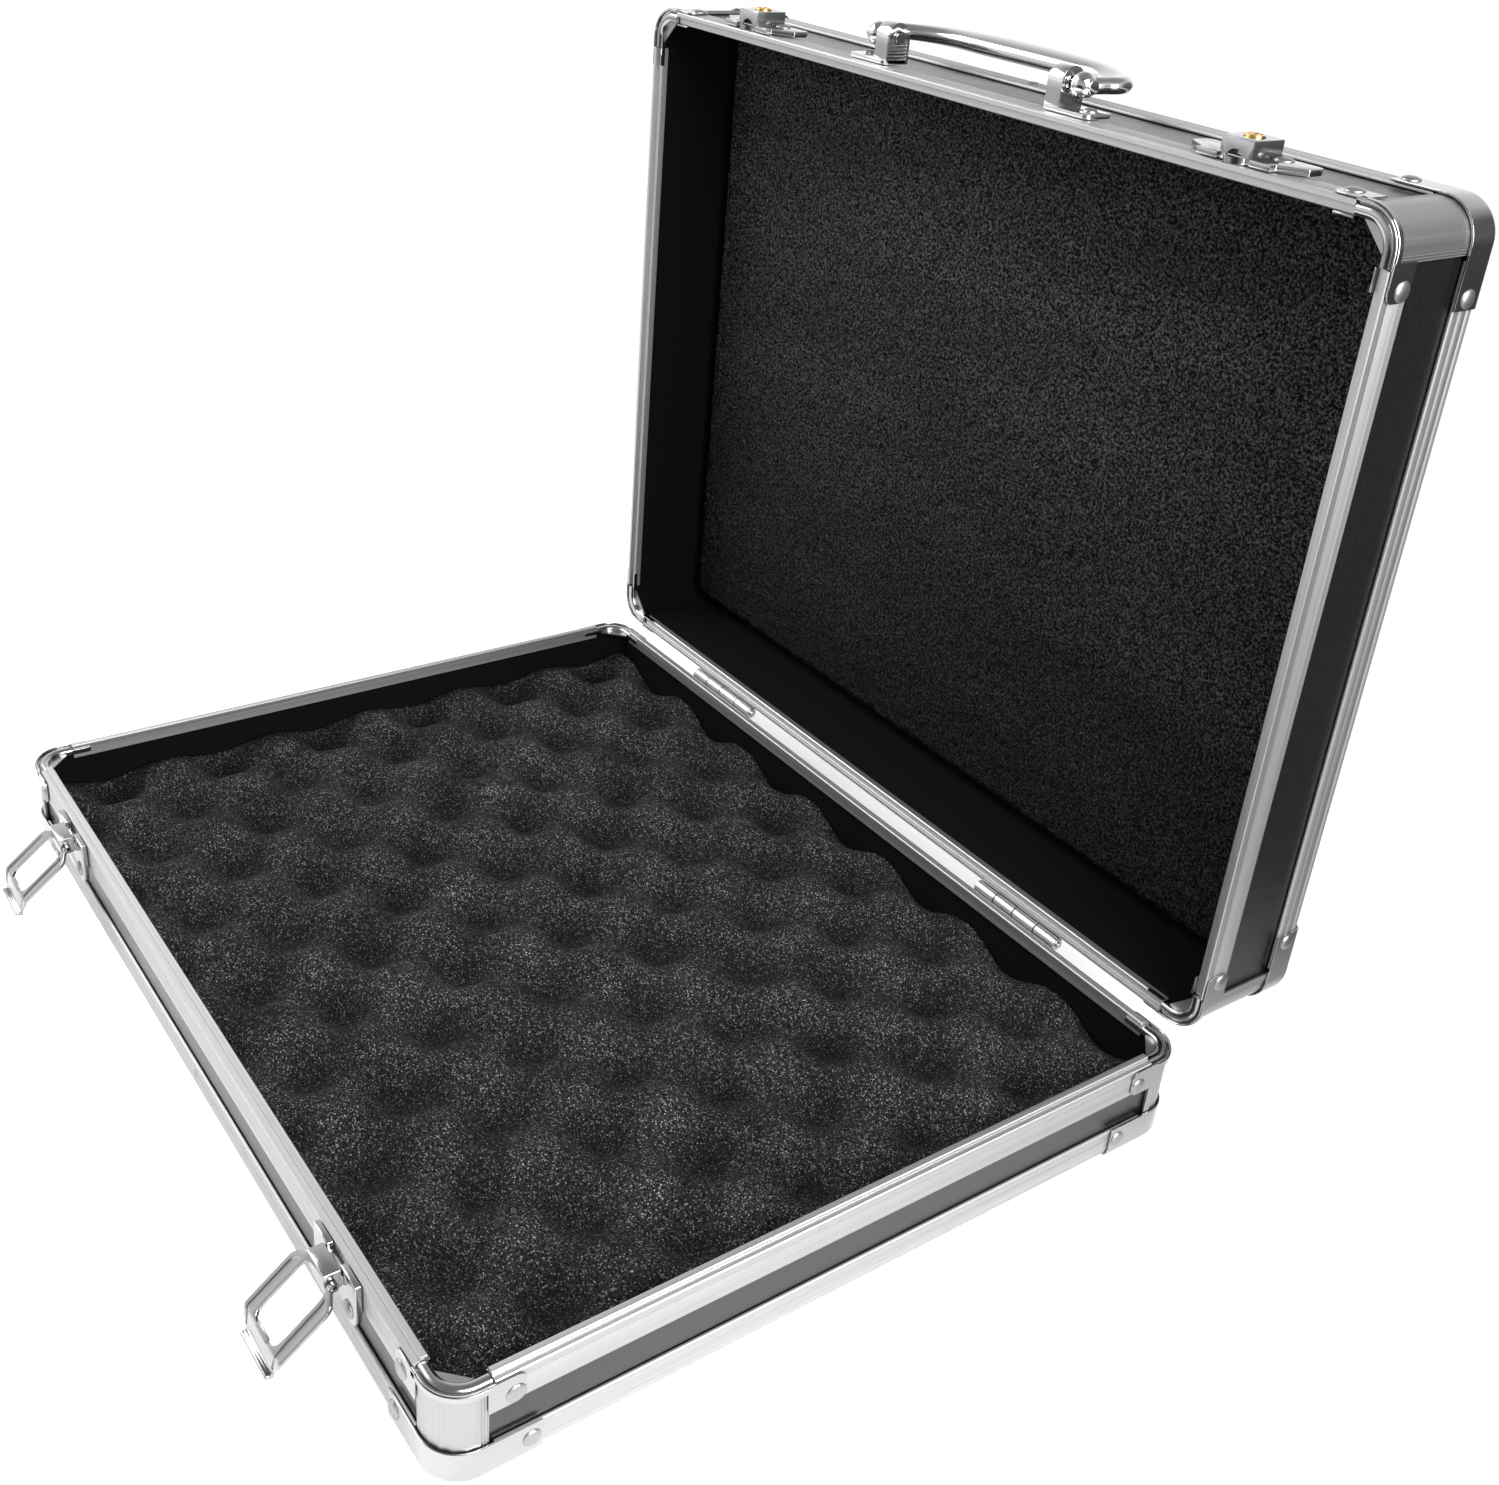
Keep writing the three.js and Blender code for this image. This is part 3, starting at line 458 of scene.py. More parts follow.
# Open-cell foam: dark pores and lighter cell walls, with painted glints and soft clouds, and painted shade that
# makes it darker lower down: in the egg-crate's hollows, and towards the bottom of the lid sheet
# The last colour here is the dark tone that the painted shade and the soft clouds darken towards
openCells = {"rough": 0.9, "specular": 0.1, "wall": (0.15, 0.55), "cloudSpan": (0.35, 0.65),
             "paintedShadeAndCloudDark": (0.0006, 0.0006, 0.0006)}
# In these tables the glint colour is a painted highlight, and the darkening by height is painted shade: in the base
# it darkens the egg-crate's hollows, in the lid the lower part of the sheet
baseCells = {
    "grain": 1300, "cloud": (45, 45, 45), "cell": 1700, "share": 0.62, "bump": 0.7, "bumpDepth": 0.0006,
    "contrast": (0.4, 0.66), "paintedShadeSpan": (0.0095, 0.021), "paintedShadeLevel": 0.3, "cloudShade": 0.5,
    "dark": (0.0018, 0.0018, 0.0019), "light": (0.036, 0.036, 0.0366), "glint": (0.42, 0.42, 0.425),
}
lidCells = {
    "grain": 950, "cloud": (6, 6, 24), "cell": 1300, "share": 0.5, "bump": 1.0, "bumpDepth": 0.0012,
    "contrast": (0.46, 0.72), "paintedShadeSpan": (0.0, 0.3), "paintedShadeLevel": 0.15, "cloudShade": 0.6,
    "dark": (0.001, 0.001, 0.001), "light": (0.16, 0.16, 0.161), "glint": (0.15, 0.15, 0.151),
}


def openCellFoam(name, m):
    material, tree, shader = newMaterial(name, m["dark"], 0, openCells["rough"])
    place = addPlace(tree)
    fine = addNoise(tree, place, m["grain"], roughness=0.75)
    cloud = addNoise(tree, addPlace(tree, m["cloud"]), 1, detail=3, roughness=0.6)
    body = addMix(tree, addRange(tree, fine, *m["contrast"], 0, 1), m["dark"], m["light"])
    pores = addNode(tree, "ShaderNodeTexVoronoi", Scale=m["cell"])
    feed(pores, "Vector", place)
    lot = addNode(tree, "ShaderNodeSeparateColor")
    feed(lot, "Color", pores.outputs["Color"])
    glintCells = addMath(tree, "POWER", addRange(tree, lot.outputs["Red"], 1 - m["share"], 1, 0, 1), 2)
    near = addRange(tree, pores.outputs["Distance"], *openCells["wall"], 1, 0)
    # Painted highlights: bright glint dots in some of the cells are put into the base colour
    withPaintedGlints = addMix(tree, addMath(tree, "MULTIPLY", glintCells, near), body, m["glint"])
    parts = addNode(tree, "ShaderNodeSeparateXYZ")
    feed(parts, "Vector", place)
    # Painted shade: the colour darkens lower down by height towards the dark tone, times a random cloud tone
    shade = addMath(tree, "MULTIPLY", addRange(tree, parts.outputs["Z"], *m["paintedShadeSpan"], m["paintedShadeLevel"], 1),
                    addRange(tree, cloud, *openCells["cloudSpan"], m["cloudShade"], 1))
    feed(shader, "Base Color", addMix(tree, shade, openCells["paintedShadeAndCloudDark"], withPaintedGlints))
    shader.inputs["Specular IOR Level"].default_value = openCells["specular"]
    addBump(tree, shader, fine, m["bump"], m["bumpDepth"])
    return material


rails = [drawnAluminium(f"rail{way}", axis) for axis, way in enumerate(("AlongWidth", "AlongDepth", "AlongHeight"))]
posts = {
    "base": drawnAluminium("postUpright", 2, brushedMetal),
    "lid": drawnAluminium("postLevel", 1, brushedMetal),
}
rivetSteel = polishedMetal("rivetSteel", (0.38, 0.382, 0.385), (0.34, 0.46), ripple=0.1, rippleScale=200)
nickel = polishedMetal("nickelPlate", (0.46, 0.463, 0.468), (0.12, 0.22), ripple=0.12, rippleScale=120)
hingeSteel = polishedMetal("hingeSteel", (0.6, 0.602, 0.606), (0.26, 0.36), ripple=0.03, rippleScale=160)
loopSteel = polishedMetal("loopSteel", (0.4, 0.402, 0.406), (0.1, 0.18), ripple=0.1, rippleScale=110)
chrome = polishedMetal("chromePlate", (0.66, 0.665, 0.672), (0.04, 0.1), ripple=0.06, rippleScale=90)
brass = brassMetal()
film = outerFilm()
lining = innerLining()
foamBase = openCellFoam("eggCrateFoam", baseCells)
foamLid = openCellFoam("flatFoam", lidCells)
print("materials ready")


# Board trays: outer film, inner lining, open at the rim
tray = {"wall": 1.8, "cornerRadius": 9.7, "cornerSteps": 8, "edgeBreak": 0.9, "edgeSteps": 2, "near": 0.01}


def makeTray(half):
    t, node = tray, f"{half}_shell"
    low, high = boxIn(half, node)
    piece = block(f"{half}Tray", low, high)
    startEdit(piece)
    selectFaces(piece, lambda c, n: n.z < -0.5)
    bpy.ops.mesh.delete(type="FACE")
    selectEdges(piece, lambda a, b: abs(a.z - b.z) > 1)
    bpy.ops.mesh.bevel(offset=t["cornerRadius"], segments=t["cornerSteps"], affect="EDGES")
    selectEdges(piece, lambda a, b: min(a.z, b.z) > high.z - t["near"])
    bpy.ops.mesh.bevel(offset=t["edgeBreak"], segments=t["edgeSteps"], affect="EDGES")
    endEdit(piece)
    for material in (film, lining):
        piece.data.materials.append(material)
    wall = piece.modifiers.new("wall", "SOLIDIFY")
    wall.thickness, wall.offset = t["wall"], -1
    wall.material_offset = wall.material_offset_rim = 1
    apply(piece, wall)
    moved(piece, inHalf(half))
    finish(piece, None, half, node)


for half in halves:
    makeTray(half)
print("trays ready")


# Extrusions keep the section that the frame holds, with their sharp edges broken
extrusion = {"edge": 0.1, "edgeLimit": 50, "merge": 0.002, "flat": 0.5,
             "ledge": 0.5, "ledgeSteps": 3, "ledgeHeight": 11.4, "near": 0.02}


def dressNode(node, material, half):
    e = extrusion
    piece = copyOf(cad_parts[node], title(node), inHalf(half).inverted())
    startEdit(piece)
    bpy.ops.mesh.remove_doubles(threshold=e["merge"])
    bpy.ops.mesh.dissolve_limited(angle_limit=math.radians(e["flat"]))
    if "edge_rail" in node:
        ledge, near = halves[half]["height"] - e["ledgeHeight"], e["near"]

        def onLedge(a, b):
            outer = all(abs(c.x) > halfWidth - near or abs(c.y) > halfDepth - near for c in (a, b))
            return outer and abs(a.z - ledge) < near and abs(b.z - ledge) < near

        selectEdges(piece, onLedge)
        bpy.ops.mesh.bevel(offset=e["ledge"], segments=e["ledgeSteps"], affect="EDGES")
    bpy.ops.object.mode_set(mode="OBJECT")
    soften(piece, e["edge"], 1, e["edgeLimit"])
    moved(piece, inHalf(half))
    finish(piece, material, half, node)


def title(node):
    first, *rest = node.split("_")
    return first + "".join(word.capitalize() for word in rest)


for half in halves:
    for kind in ("rim_rail", "edge_rail"):
        for side in ("front", "back", "left", "right"):
            across = 0 if side in ("front", "back") else (1 if half == "base" else 2)
            dressNode(f"{half}_{kind}_{side}", rails[across], half)
    for side in ("front_left", "front_right", "back_right", "back_left"):
        dressNode(f"{half}_corner_post_{side}", posts[half], half)
print("rails and posts ready")


# A part that keeps its own satin steel when it joins a plated piece
def makeSatin(piece):
    for metal in (None, rivetSteel):
        piece.data.materials.append(metal)
    piece.data.polygons.foreach_set("material_index", [1] * len(piece.data.polygons))
    return piece


# Domed rivet head: drawn standing on the XY plane, then turned and set in its place
dome = {"segments": 28, "rings": 16, "cut": 0.001}


def rivetOn(c, place, normal=(0, 0, 1)):
    radius, rise = c["rivetRadius"], c["rivetRise"]
    deselectAll()
    bpy.ops.mesh.primitive_uv_sphere_add(segments=dome["segments"], ring_count=dome["rings"], radius=radius)
    piece = nameIt("rivetHead")
    startEdit(piece)
    bpy.ops.mesh.bisect(plane_co=(0, 0, dome["cut"]), plane_no=(0, 0, 1), use_fill=True, clear_inner=True)
    bpy.ops.mesh.select_all(action="SELECT")
    bpy.ops.transform.resize(value=(1, 1, rise / radius), center_override=(0, 0, 0))
    makeSatin(endEdit(piece))
    turn = Vector(normal).to_track_quat("Z", "Y").to_matrix().to_4x4()
    return moved(piece, Matrix.Translation(place) @ turn)


# One rivet on each leg of a corner piece
def legRivets(c, depth):
    return [
        rivetOn(c, (halfWidth + c["proud"], halfDepth - c["rivetPlace"], depth), (1, 0, 0)),
        rivetOn(c, (halfWidth - c["rivetPlace"], halfDepth + c["proud"], depth), (0, 1, 0)),
    ]


# The section of a corner piece is drawn across the back face, led round the corner and along the side
corner = {"radius": 11, "steps": 12}


def ledRound(name, section, leg):
    r = corner["radius"]
    piece = drawOutline(name, [(halfWidth - leg, halfDepth - u, v) for u, v in section])
    bpy.ops.mesh.delete(type="ONLY_FACE")
    bpy.ops.mesh.select_all(action="SELECT")
    push((leg - r, 0, 0))
    centre = (halfWidth - r, halfDepth - r, 0)
    bpy.ops.mesh.spin(steps=corner["steps"], angle=math.radians(90), center=centre, axis=(0, 0, 1))
    push((0, r - leg, 0))
    bpy.ops.mesh.select_all(action="SELECT")
    bpy.ops.mesh.fill_holes(sides=0)
    return endEdit(piece)


# Rim corners: an outer lip, a groove and a half-round ridge, with legs riveted to the rails
rimCorner = {
    "proud": 0.8, "gap": 0.3, "leg": 14.7, "bottom": 2.6, "crease": 0.75, "step": 0.3, "lip": 0.1, "edge": 0.18,
    "nick": 0.1, "nickWide": 0.15, "lipFall": 0.03, "lipBreak": 0.12,
    "ridgeInner": 4.2, "ridgeHalf": 1.75, "ridgeRise": 1.2, "ridgeTop": 0.05, "ridgeSteps": 14,
    "legStart": 12.7, "legEnd": 23.6, "legTop": 0.3, "legFoot": 10, "legRound": 3, "sheetEdge": 0.15,
    "rivetPlace": 20.5, "rivetDepth": 6.6, "rivetRadius": 2.95, "rivetRise": 0.9,
    "webReach": 13.2, "webThickness": 0.6, "webSteps": 9,
    "tabStart": 14.9, "tabEnd": 21.5, "tabTop": 0.4, "tabFoot": 2.3, "tabInset": 4.22, "tabThickness": 0.6,
}


def rimCornerSection(c):
    out, lipOut, root = -c["proud"], c["step"] - c["proud"], c["ridgeTop"] + c["ridgeRise"]
    centre, half, nick, wide = c["ridgeInner"] - c["ridgeHalf"], c["ridgeHalf"], c["nick"], c["nickWide"]
    ridge = [(centre + half * x, root + c["ridgeRise"] * y) for x, y in arc(0, 0, 1, 180, 360, c["ridgeSteps"])]
    return [
        (out, c["bottom"]), (out, c["crease"] + wide), (out + nick, c["crease"]), (lipOut, c["crease"] + nick),
        (lipOut, c["edge"]), (lipOut + c["edge"] / 2, c["lipFall"]), (lipOut + c["edge"], 0),
        (c["lip"] - c["lipBreak"], 0), (c["lip"], wide), (c["lip"] + wide, root),
        (centre - half - nick, root + wide),
        *ridge,
        (c["ridgeInner"], c["bottom"]),
    ]


def legOutline(c):
    end, foot, r = c["legEnd"], c["legFoot"], c["legRound"]
    return [
        (c["legStart"], c["legTop"]),
        *arc(end - r, c["legTop"] + r, r, 270, 360, roundSteps),
        *arc(end - r, foot - r, r, 0, 90, roundSteps),
        (c["legStart"], foot),
    ]


def makeRimCorner():
    c, r = rimCorner, corner["radius"]
    legs, proud = legOutline(c), c["proud"] - c["gap"]
    roll = ledRound("roll", rimCornerSection(c), c["leg"])
    side = plate("sideLeg", [(halfWidth + c["gap"], halfDepth - a, v) for a, v in legs], (proud, 0, 0))
    back = plate("backLeg", [(halfWidth - a, halfDepth + c["gap"], v) for a, v in legs], (0, proud, 0))
    for leg in (side, back):
        soften(leg, c["sheetEdge"])
    inner = c["ridgeInner"] - c["webThickness"]
    turn = arc(halfWidth - r, halfDepth - r, r - inner, 0, 90, c["webSteps"])
    start, end = (halfWidth - inner, halfDepth - c["webReach"]), (halfWidth - c["webReach"], halfDepth - inner)
    outline = [start, *turn, end]
    web = plate("web", flat(outline, c["bottom"]), (0, 0, -c["webThickness"]))
    i, t = c["tabInset"], c["tabThickness"]
    sideTab = block("sideTab", (halfWidth - i - t, halfDepth - c["tabEnd"], c["tabTop"]),
                    (halfWidth - i, halfDepth - c["tabStart"], c["tabFoot"]))
    backTab = block("backTab", (halfWidth - c["tabEnd"], halfDepth - i - t, c["tabTop"]),
                    (halfWidth - c["tabStart"], halfDepth - i, c["tabFoot"]))
    for tab in (sideTab, backTab):
        soften(tab, c["sheetEdge"])
    rivets = legRivets(c, c["rivetDepth"])
    return merge("rimCorner", roll, side, back, makeSatin(web), sideTab, backTab, *rivets)


# Pressed caps that wrap the outer corners and turn in under the panel, with a plate over the inner corner
edgeCap = {
    "proud": 0.9, "sheet": 0.6, "leg": 28.5, "reach": 9.4, "height": 12.3, "rollCentre": 2.5, "rollSteps": 8,
    "edge": 0.12, "edgeLimit": 40, "plateLap": 0.5, "plateReach": 15.6, "plateCut": 11.9,
    "rivetPlace": 25.3, "rivetDepth": 7.3, "rivetRadius": 2.8, "rivetRise": 0.95,
}


def makeEdgeCap(height):
    c, steps = edgeCap, edgeCap["rollSteps"]
    outer = c["rollCentre"] + c["proud"]
    centre = height - outer
    section = [
        (c["reach"], height),
        *arc(c["rollCentre"], centre, outer, 90, 180, steps),
        (-c["proud"], height - c["height"]),
        (c["sheet"] - c["proud"], height - c["height"]),
        *arc(c["rollCentre"], centre, outer - c["sheet"], 180, 90, steps),
        (c["reach"], height - c["sheet"]),
    ]
    cap = soften(ledRound("cap", section, c["leg"]), c["edge"], 2, c["edgeLimit"])
    near, far, cut = c["reach"] - c["plateLap"], c["plateReach"], c["plateCut"]
    insets = ((near, near), (near, far), (cut, far), (far, cut), (far, near))
    outline = flat([(halfWidth - a, halfDepth - b) for a, b in insets], height)
    cornerPlate = plate("cornerPlate", outline, (0, 0, -c["sheet"]))
    rivets = legRivets(c, height - c["rivetDepth"])
    return merge("edgeCap", cap, soften(cornerPlate, c["edge"]), *rivets)


def placeCorners(half, piece, kind):
    for x, y in ((-1, -1), (1, -1), (1, 1), (-1, 1)):
        where = ("front" if y < 0 else "back") + "_" + ("right" if x * halves[half]["turn"] > 0 else "left")
        node = f"{half}_{kind}_{where}"
        copy = copyOf(piece, title(node), inHalf(half) @ Matrix.Diagonal((x, y, 1, 1)))
        finish(copy, nickel, half, node)


rimPattern = makeRimCorner()
for half in halves:
    placeCorners(half, rimPattern, "rim_corner")
    capPattern = makeEdgeCap(halves[half]["height"])
    placeCorners(half, capPattern, "edge_corner")
    bpy.data.objects.remove(capPattern)
bpy.data.objects.remove(rimPattern)
print("corners ready")


# Hinges: two leaves with rolled knuckles, and the pin with the base leaf
hinge = {
    "length": 41.5, "barrel": 2.4, "offset": 2.7, "rise": 0.3, "gap": 0.4, "ends": (0, 0.246, 0.482, 0.747, 1),
    "leaf": 0.9, "seat": 0.3, "height": 9, "round": 2, "notch": 2.4, "curl": 0.3, "pin": 1.1, "pinEnd": 0.8,
    "leafEdge": 0.15, "barrelEdge": 0.2, "pinEdge": 0.3,
    "rivetRadius": 2, "rivetRise": 0.8, "rivetDepth": 5.8, "rivetPitch": 13.4,
}


def makeHinge(half, side):
    h, shape = hinge, halves[half]
    node = f"hinge_{half}_leaf_{side}"
    centre = middle(f"hinge_lid_leaf_{side}") * shape["turn"]
    inner, outer = halfDepth + h["seat"], halfDepth + h["seat"] + h["leaf"]
    long, r = h["length"] / 2, h["round"]
    outline = [
        (-long, h["notch"]), (long, h["notch"]),
        *arc(long - r, h["height"] - r, r, 0, 90, roundSteps),
        *arc(r - long, h["height"] - r, r, 90, 180, roundSteps),
    ]
    leaf = plate("leaf", [(centre + x, inner, v) for x, v in outline], (0, h["leaf"], 0))
    parts = [soften(leaf, h["leafEdge"])]
    axisY, axisV = halfDepth + h["offset"], -h["rise"]
    for i in shape["knuckles"]:
        start = (h["ends"][i] - 0.5) * h["length"] + h["gap"] / 2
        end = (h["ends"][i + 1] - 0.5) * h["length"] - h["gap"] / 2
        if shape["turn"] < 0:
            start, end = -end, -start
        a, b = centre + start, centre + end
        parts.append(block("curl", (a, inner, axisV), (b, outer, h["notch"] + h["curl"])))
        parts.append(roundedBar("knuckle", (a, axisY, axisV), (b, axisY, axisV), h["barrel"], h["barrelEdge"]))
    for i in (-1, 0, 1):
        parts.append(rivetOn(h, (centre + i * h["rivetPitch"], outer, h["rivetDepth"]), (0, 1, 0)))
    if half == "base":
        a, b = centre - (long + h["pinEnd"]), centre + (long + h["pinEnd"])
        parts.append(roundedBar("pin", (a, axisY, axisV), (b, axisY, axisV), h["pin"], h["pinEdge"], 3))
    piece = moved(merge(title(node), *parts), inHalf(half))
    finish(piece, hingeSteel, half, node)


for half in halves:
    for side in bothSides:
        makeHinge(half, side)
print("hinges ready")


# Hasp plate: two flanges at the rim, two riveted lobes and the block that holds the loop's pivot
haspPlate = {
    "seat": 0.3, "sheet": 1.9, "edge": 0.3, "top": 0.2, "foot": 12.1, "halfWidth": 13.7,
    "notch": 4.2, "notchDepth": 3, "lobePlace": 8.9, "lobe": 4.6, "lobeTurn": 150, "lobeSteps": 12,
    "neckInset": 0.3, "neckDepth": 1,
    "blockHalf": 5.75, "blockTop": 0.5, "blockFoot": 6.7, "blockLow": 2.5, "blockFace": 7.4,
    "rivetRadius": 2.85, "rivetRise": 1.2,
}


def makeHaspPlate(side):
    h, node = haspPlate, f"hasp_plate_{side}"
    top, foot, half, lobe, notch = h["top"], h["foot"], h["halfWidth"], h["lobe"], h["notch"]
    notchFoot = top + h["notchDepth"]
    outline = [
        (half, top), (half, foot - lobe / 2),
        *arc(h["lobePlace"], foot, lobe, 0, h["lobeTurn"], h["lobeSteps"]),
        *arc(-h["lobePlace"], foot, lobe, 180 - h["lobeTurn"], 180, h["lobeSteps"]),
        (-half, foot - lobe / 2), (-half, top),
        (-notch, top), (-notch, notchFoot), (notch, notchFoot), (notch, top),
    ]
    sheet = soften(plate("sheet", flat(outline, h["seat"]), (0, 0, h["sheet"])), h["edge"], 3)
    wide, inset = h["blockHalf"], h["neckInset"]
    head = block("head", (-wide, h["blockTop"], h["blockLow"]), (wide, h["blockFoot"], h["blockFace"]))
    soften(head, h["edge"], 3)
    neck = block("neck", (-wide + inset, notchFoot + inset, h["seat"] + h["neckDepth"]),
                 (wide - inset, h["blockFoot"] - inset, h["blockFace"] - h["neckDepth"]))
    rivets = [rivetOn(h, (s * h["lobePlace"], foot, h["seat"] + h["sheet"])) for s in (-1, 1)]
    piece = merge(title(node), sheet, head, neck, *rivets)
    moved(piece, onFront("base", middle(node)))
    finish(piece, nickel, "base", node)


# Hasp loop, drawn about its pivot with its arms along +y: pressed sheet with channelled arms and a turned tab
haspLoop = {
    "sheet": 1.2, "armInner": 6.05, "eye": 1.5, "eyeRadius": 1.5, "eyeEdge": 0.2, "eyeTop": 1.2,
    "flareFrom": 1, "flareTo": 3.6, "halfWidth": 12.3, "arm": 5.3, "taper": 17, "windowEnd": 21.5,
    "fold": 22.1, "foldRadius": 1.6, "foldTurn": 40, "foldSteps": 6, "tabHalf": 8.95, "tab": 7.3,
    "lip": 1.4, "lipRise": 1.4, "lipEdge": 0.5, "channel": 1.5, "channelDepth": 0.55, "sheetEdge": 0.34,
    "edgeLimit": 35, "stub": 0.9, "stubLength": 1.6, "stubGap": 0.3, "stubSides": 20,
    "tongueHalf": 3.8, "tongue": 0.75, "tongueRise": 0.9, "tongueRoot": 1, "tongueEdge": 0.3,
    "tilt": 51, "pivotDepth": 4.2, "pivotOut": 5.4,
}


# Half of the loop's outline and of its window; the small offsets round their corners
def loopOutlines(h):
    half, inner, eyeEnd = h["halfWidth"], h["halfWidth"] - h["arm"], h["armInner"] + h["eye"]
    end, start, flare, fold = h["fold"] + h["tab"], h["flareFrom"], h["flareTo"], h["fold"]
    side = [
        (h["armInner"], -h["eyeTop"]), (eyeEnd, -h["eyeTop"]), (eyeEnd, start - 0.4), (eyeEnd + 0.9, start + 0.3),
        (half - 1, flare - 0.7), (half - 0.1, flare + 0.9), (half, flare + 2.4),
        (half, fold - 0.6), (half - 0.3, fold + 0.9), (half - 1.2, fold + 2.4),
        (h["tabHalf"] + 0.3, end - 2.4), (h["tabHalf"], end),
    ]
    window = [
        (h["armInner"], start), (h["armInner"] + 0.5, start + 1.3), (inner - 0.1, flare + 0.9), (inner, flare + 2),
        (inner, h["taper"]), (inner - 0.3, h["windowEnd"] - 1.6), (inner - 1.3, h["windowEnd"] - 0.4),
        (inner - 2.6, h["windowEnd"]),
    ]
    return side, window


def loopChannel(h):
    inner, out = h["halfWidth"] - h["arm"] + h["channel"], h["halfWidth"] - h["channel"]
    flare, fold = h["flareTo"], h["fold"]
    return [
        (inner - 0.6, flare - 0.4), (out - 1.2, flare + 0.3), (out, flare + 1.8),
        (out, fold - 0.4), (out - 1.5, fold + 3.6), (out - 2.4, fold + 3.9),
        (inner + 0.4, h["windowEnd"] + 0.6), (inner, h["taper"] + 1), (inner, flare + 1.6),
    ]


# The tab leans back over a small radius, so the sheet is cut across first
def foldTab(piece, h):
    turn, r, steps = math.radians(h["foldTurn"]), h["foldRadius"], h["foldSteps"]
    start = h["fold"] - r * turn / 2
    startEdit(piece)
    for i in range(steps + 1):
        bpy.ops.mesh.select_all(action="SELECT")
        bpy.ops.mesh.bisect(plane_co=(0, start + r * turn * i / steps, 0), plane_no=(0, 1, 0))
    bpy.ops.object.mode_set(mode="OBJECT")
    for vertex in piece.data.vertices:
        y, z = vertex.co.y, vertex.co.z
        if y > start:
            a = min(turn, (y - start) / r)
            rest = y - start - r * a
            vertex.co.y = start + (r + z) * math.sin(a) + rest * math.cos(a)
            vertex.co.z = (r + z) * math.cos(a) - r - rest * math.sin(a)
    return piece


def makeHaspLoop(side):
    h, node = haspLoop, f"hasp_loop_{side}"
    thick, end = h["sheet"] / 2, h["fold"] + h["tab"]
    outer, window = loopOutlines(h)
    sheet = plate("loopSheet", flat(outer + mirrored(outer), -thick), (0, 0, h["sheet"]))
    mouth = [(h["armInner"], -overshoot), *window]
    carve(sheet, plate("window", flat(mouth + mirrored(mouth), -overshoot), (0, 0, 2 * overshoot)))
    for channel in (loopChannel(h), mirrored(loopChannel(h))):
        carve(sheet, plate("channel", flat(channel, thick - h["channelDepth"]), (0, 0, overshoot)))
    soften(sheet, h["sheetEdge"], 3, h["edgeLimit"])
    lip = block("lip", (-h["tabHalf"], end - h["lip"], 0), (h["tabHalf"], end, thick + h["lipRise"]))
    tongue = block("tongue", (-h["tongueHalf"], h["windowEnd"] - h["tongue"], h["tongueRise"] - thick),
                   (h["tongueHalf"], h["windowEnd"] + h["tongueRoot"], h["tongueRise"]))
    bent = foldTab(merge("bentSheet", sheet, soften(lip, h["lipEdge"], 4)), h)
    parts = [bent, soften(tongue, h["tongueEdge"], 3)]
    for s in (-1, 1):
        stubTip, eyeStart, eyeEnd = (s * (h["armInner"] + out) for out in (-h["stubLength"], 0, h["eye"]))
        parts.append(roundedBar("eye", (eyeStart, 0, 0), (eyeEnd, 0, 0), h["eyeRadius"], h["eyeEdge"]))
        parts.append(bar("stub", (stubTip, 0, 0), (eyeEnd - s * h["stubGap"], 0, 0), h["stub"], h["stubSides"]))
    piece = merge(title(node), *parts)
    moved(piece, onFront("base", middle(node)) @ tilted(h["pivotDepth"], h["pivotOut"], h["tilt"]))
    finish(piece, loopSteel, f"hasp_loop_{side}", node)


for side in bothSides:
    makeHaspPlate(side)
    makeHaspLoop(side)
print("hasps ready")


# Lock boxes on the lid, with riveted wings and a hook lip for the loop
lockBox = {
    "seat": 0.3, "sheet": 1.9, "top": 2, "boxTop": 2.9, "boxFoot": 15.8, "boxHalf": 5.75, "boxFace": 6.9,
    "notch": 0.3, "sheetEdge": 0.25, "boxEdge": 0.3,
    "neckHalf": 13.2, "neckFoot": 4.4, "wingHalf": 21, "wingTop": 9, "wingFoot": 16.2, "wingRound": 2.5,
    "rivetPlace": 9.3, "rivetRadius": 2.85, "rivetRise": 1, "recess": 3.6, "recessDepth": 2.4, "holeSides": 40,
    "keyDepth": 9.7, "keyHole": 3.2, "keyHoleDepth": 4.7,
    "hookPlace": 2.2, "hookInset": 1.2, "hookTurn": (200, 340), "hookSteps": 14, "hookSheet": 0.4, "hookRise": 1.6,
}


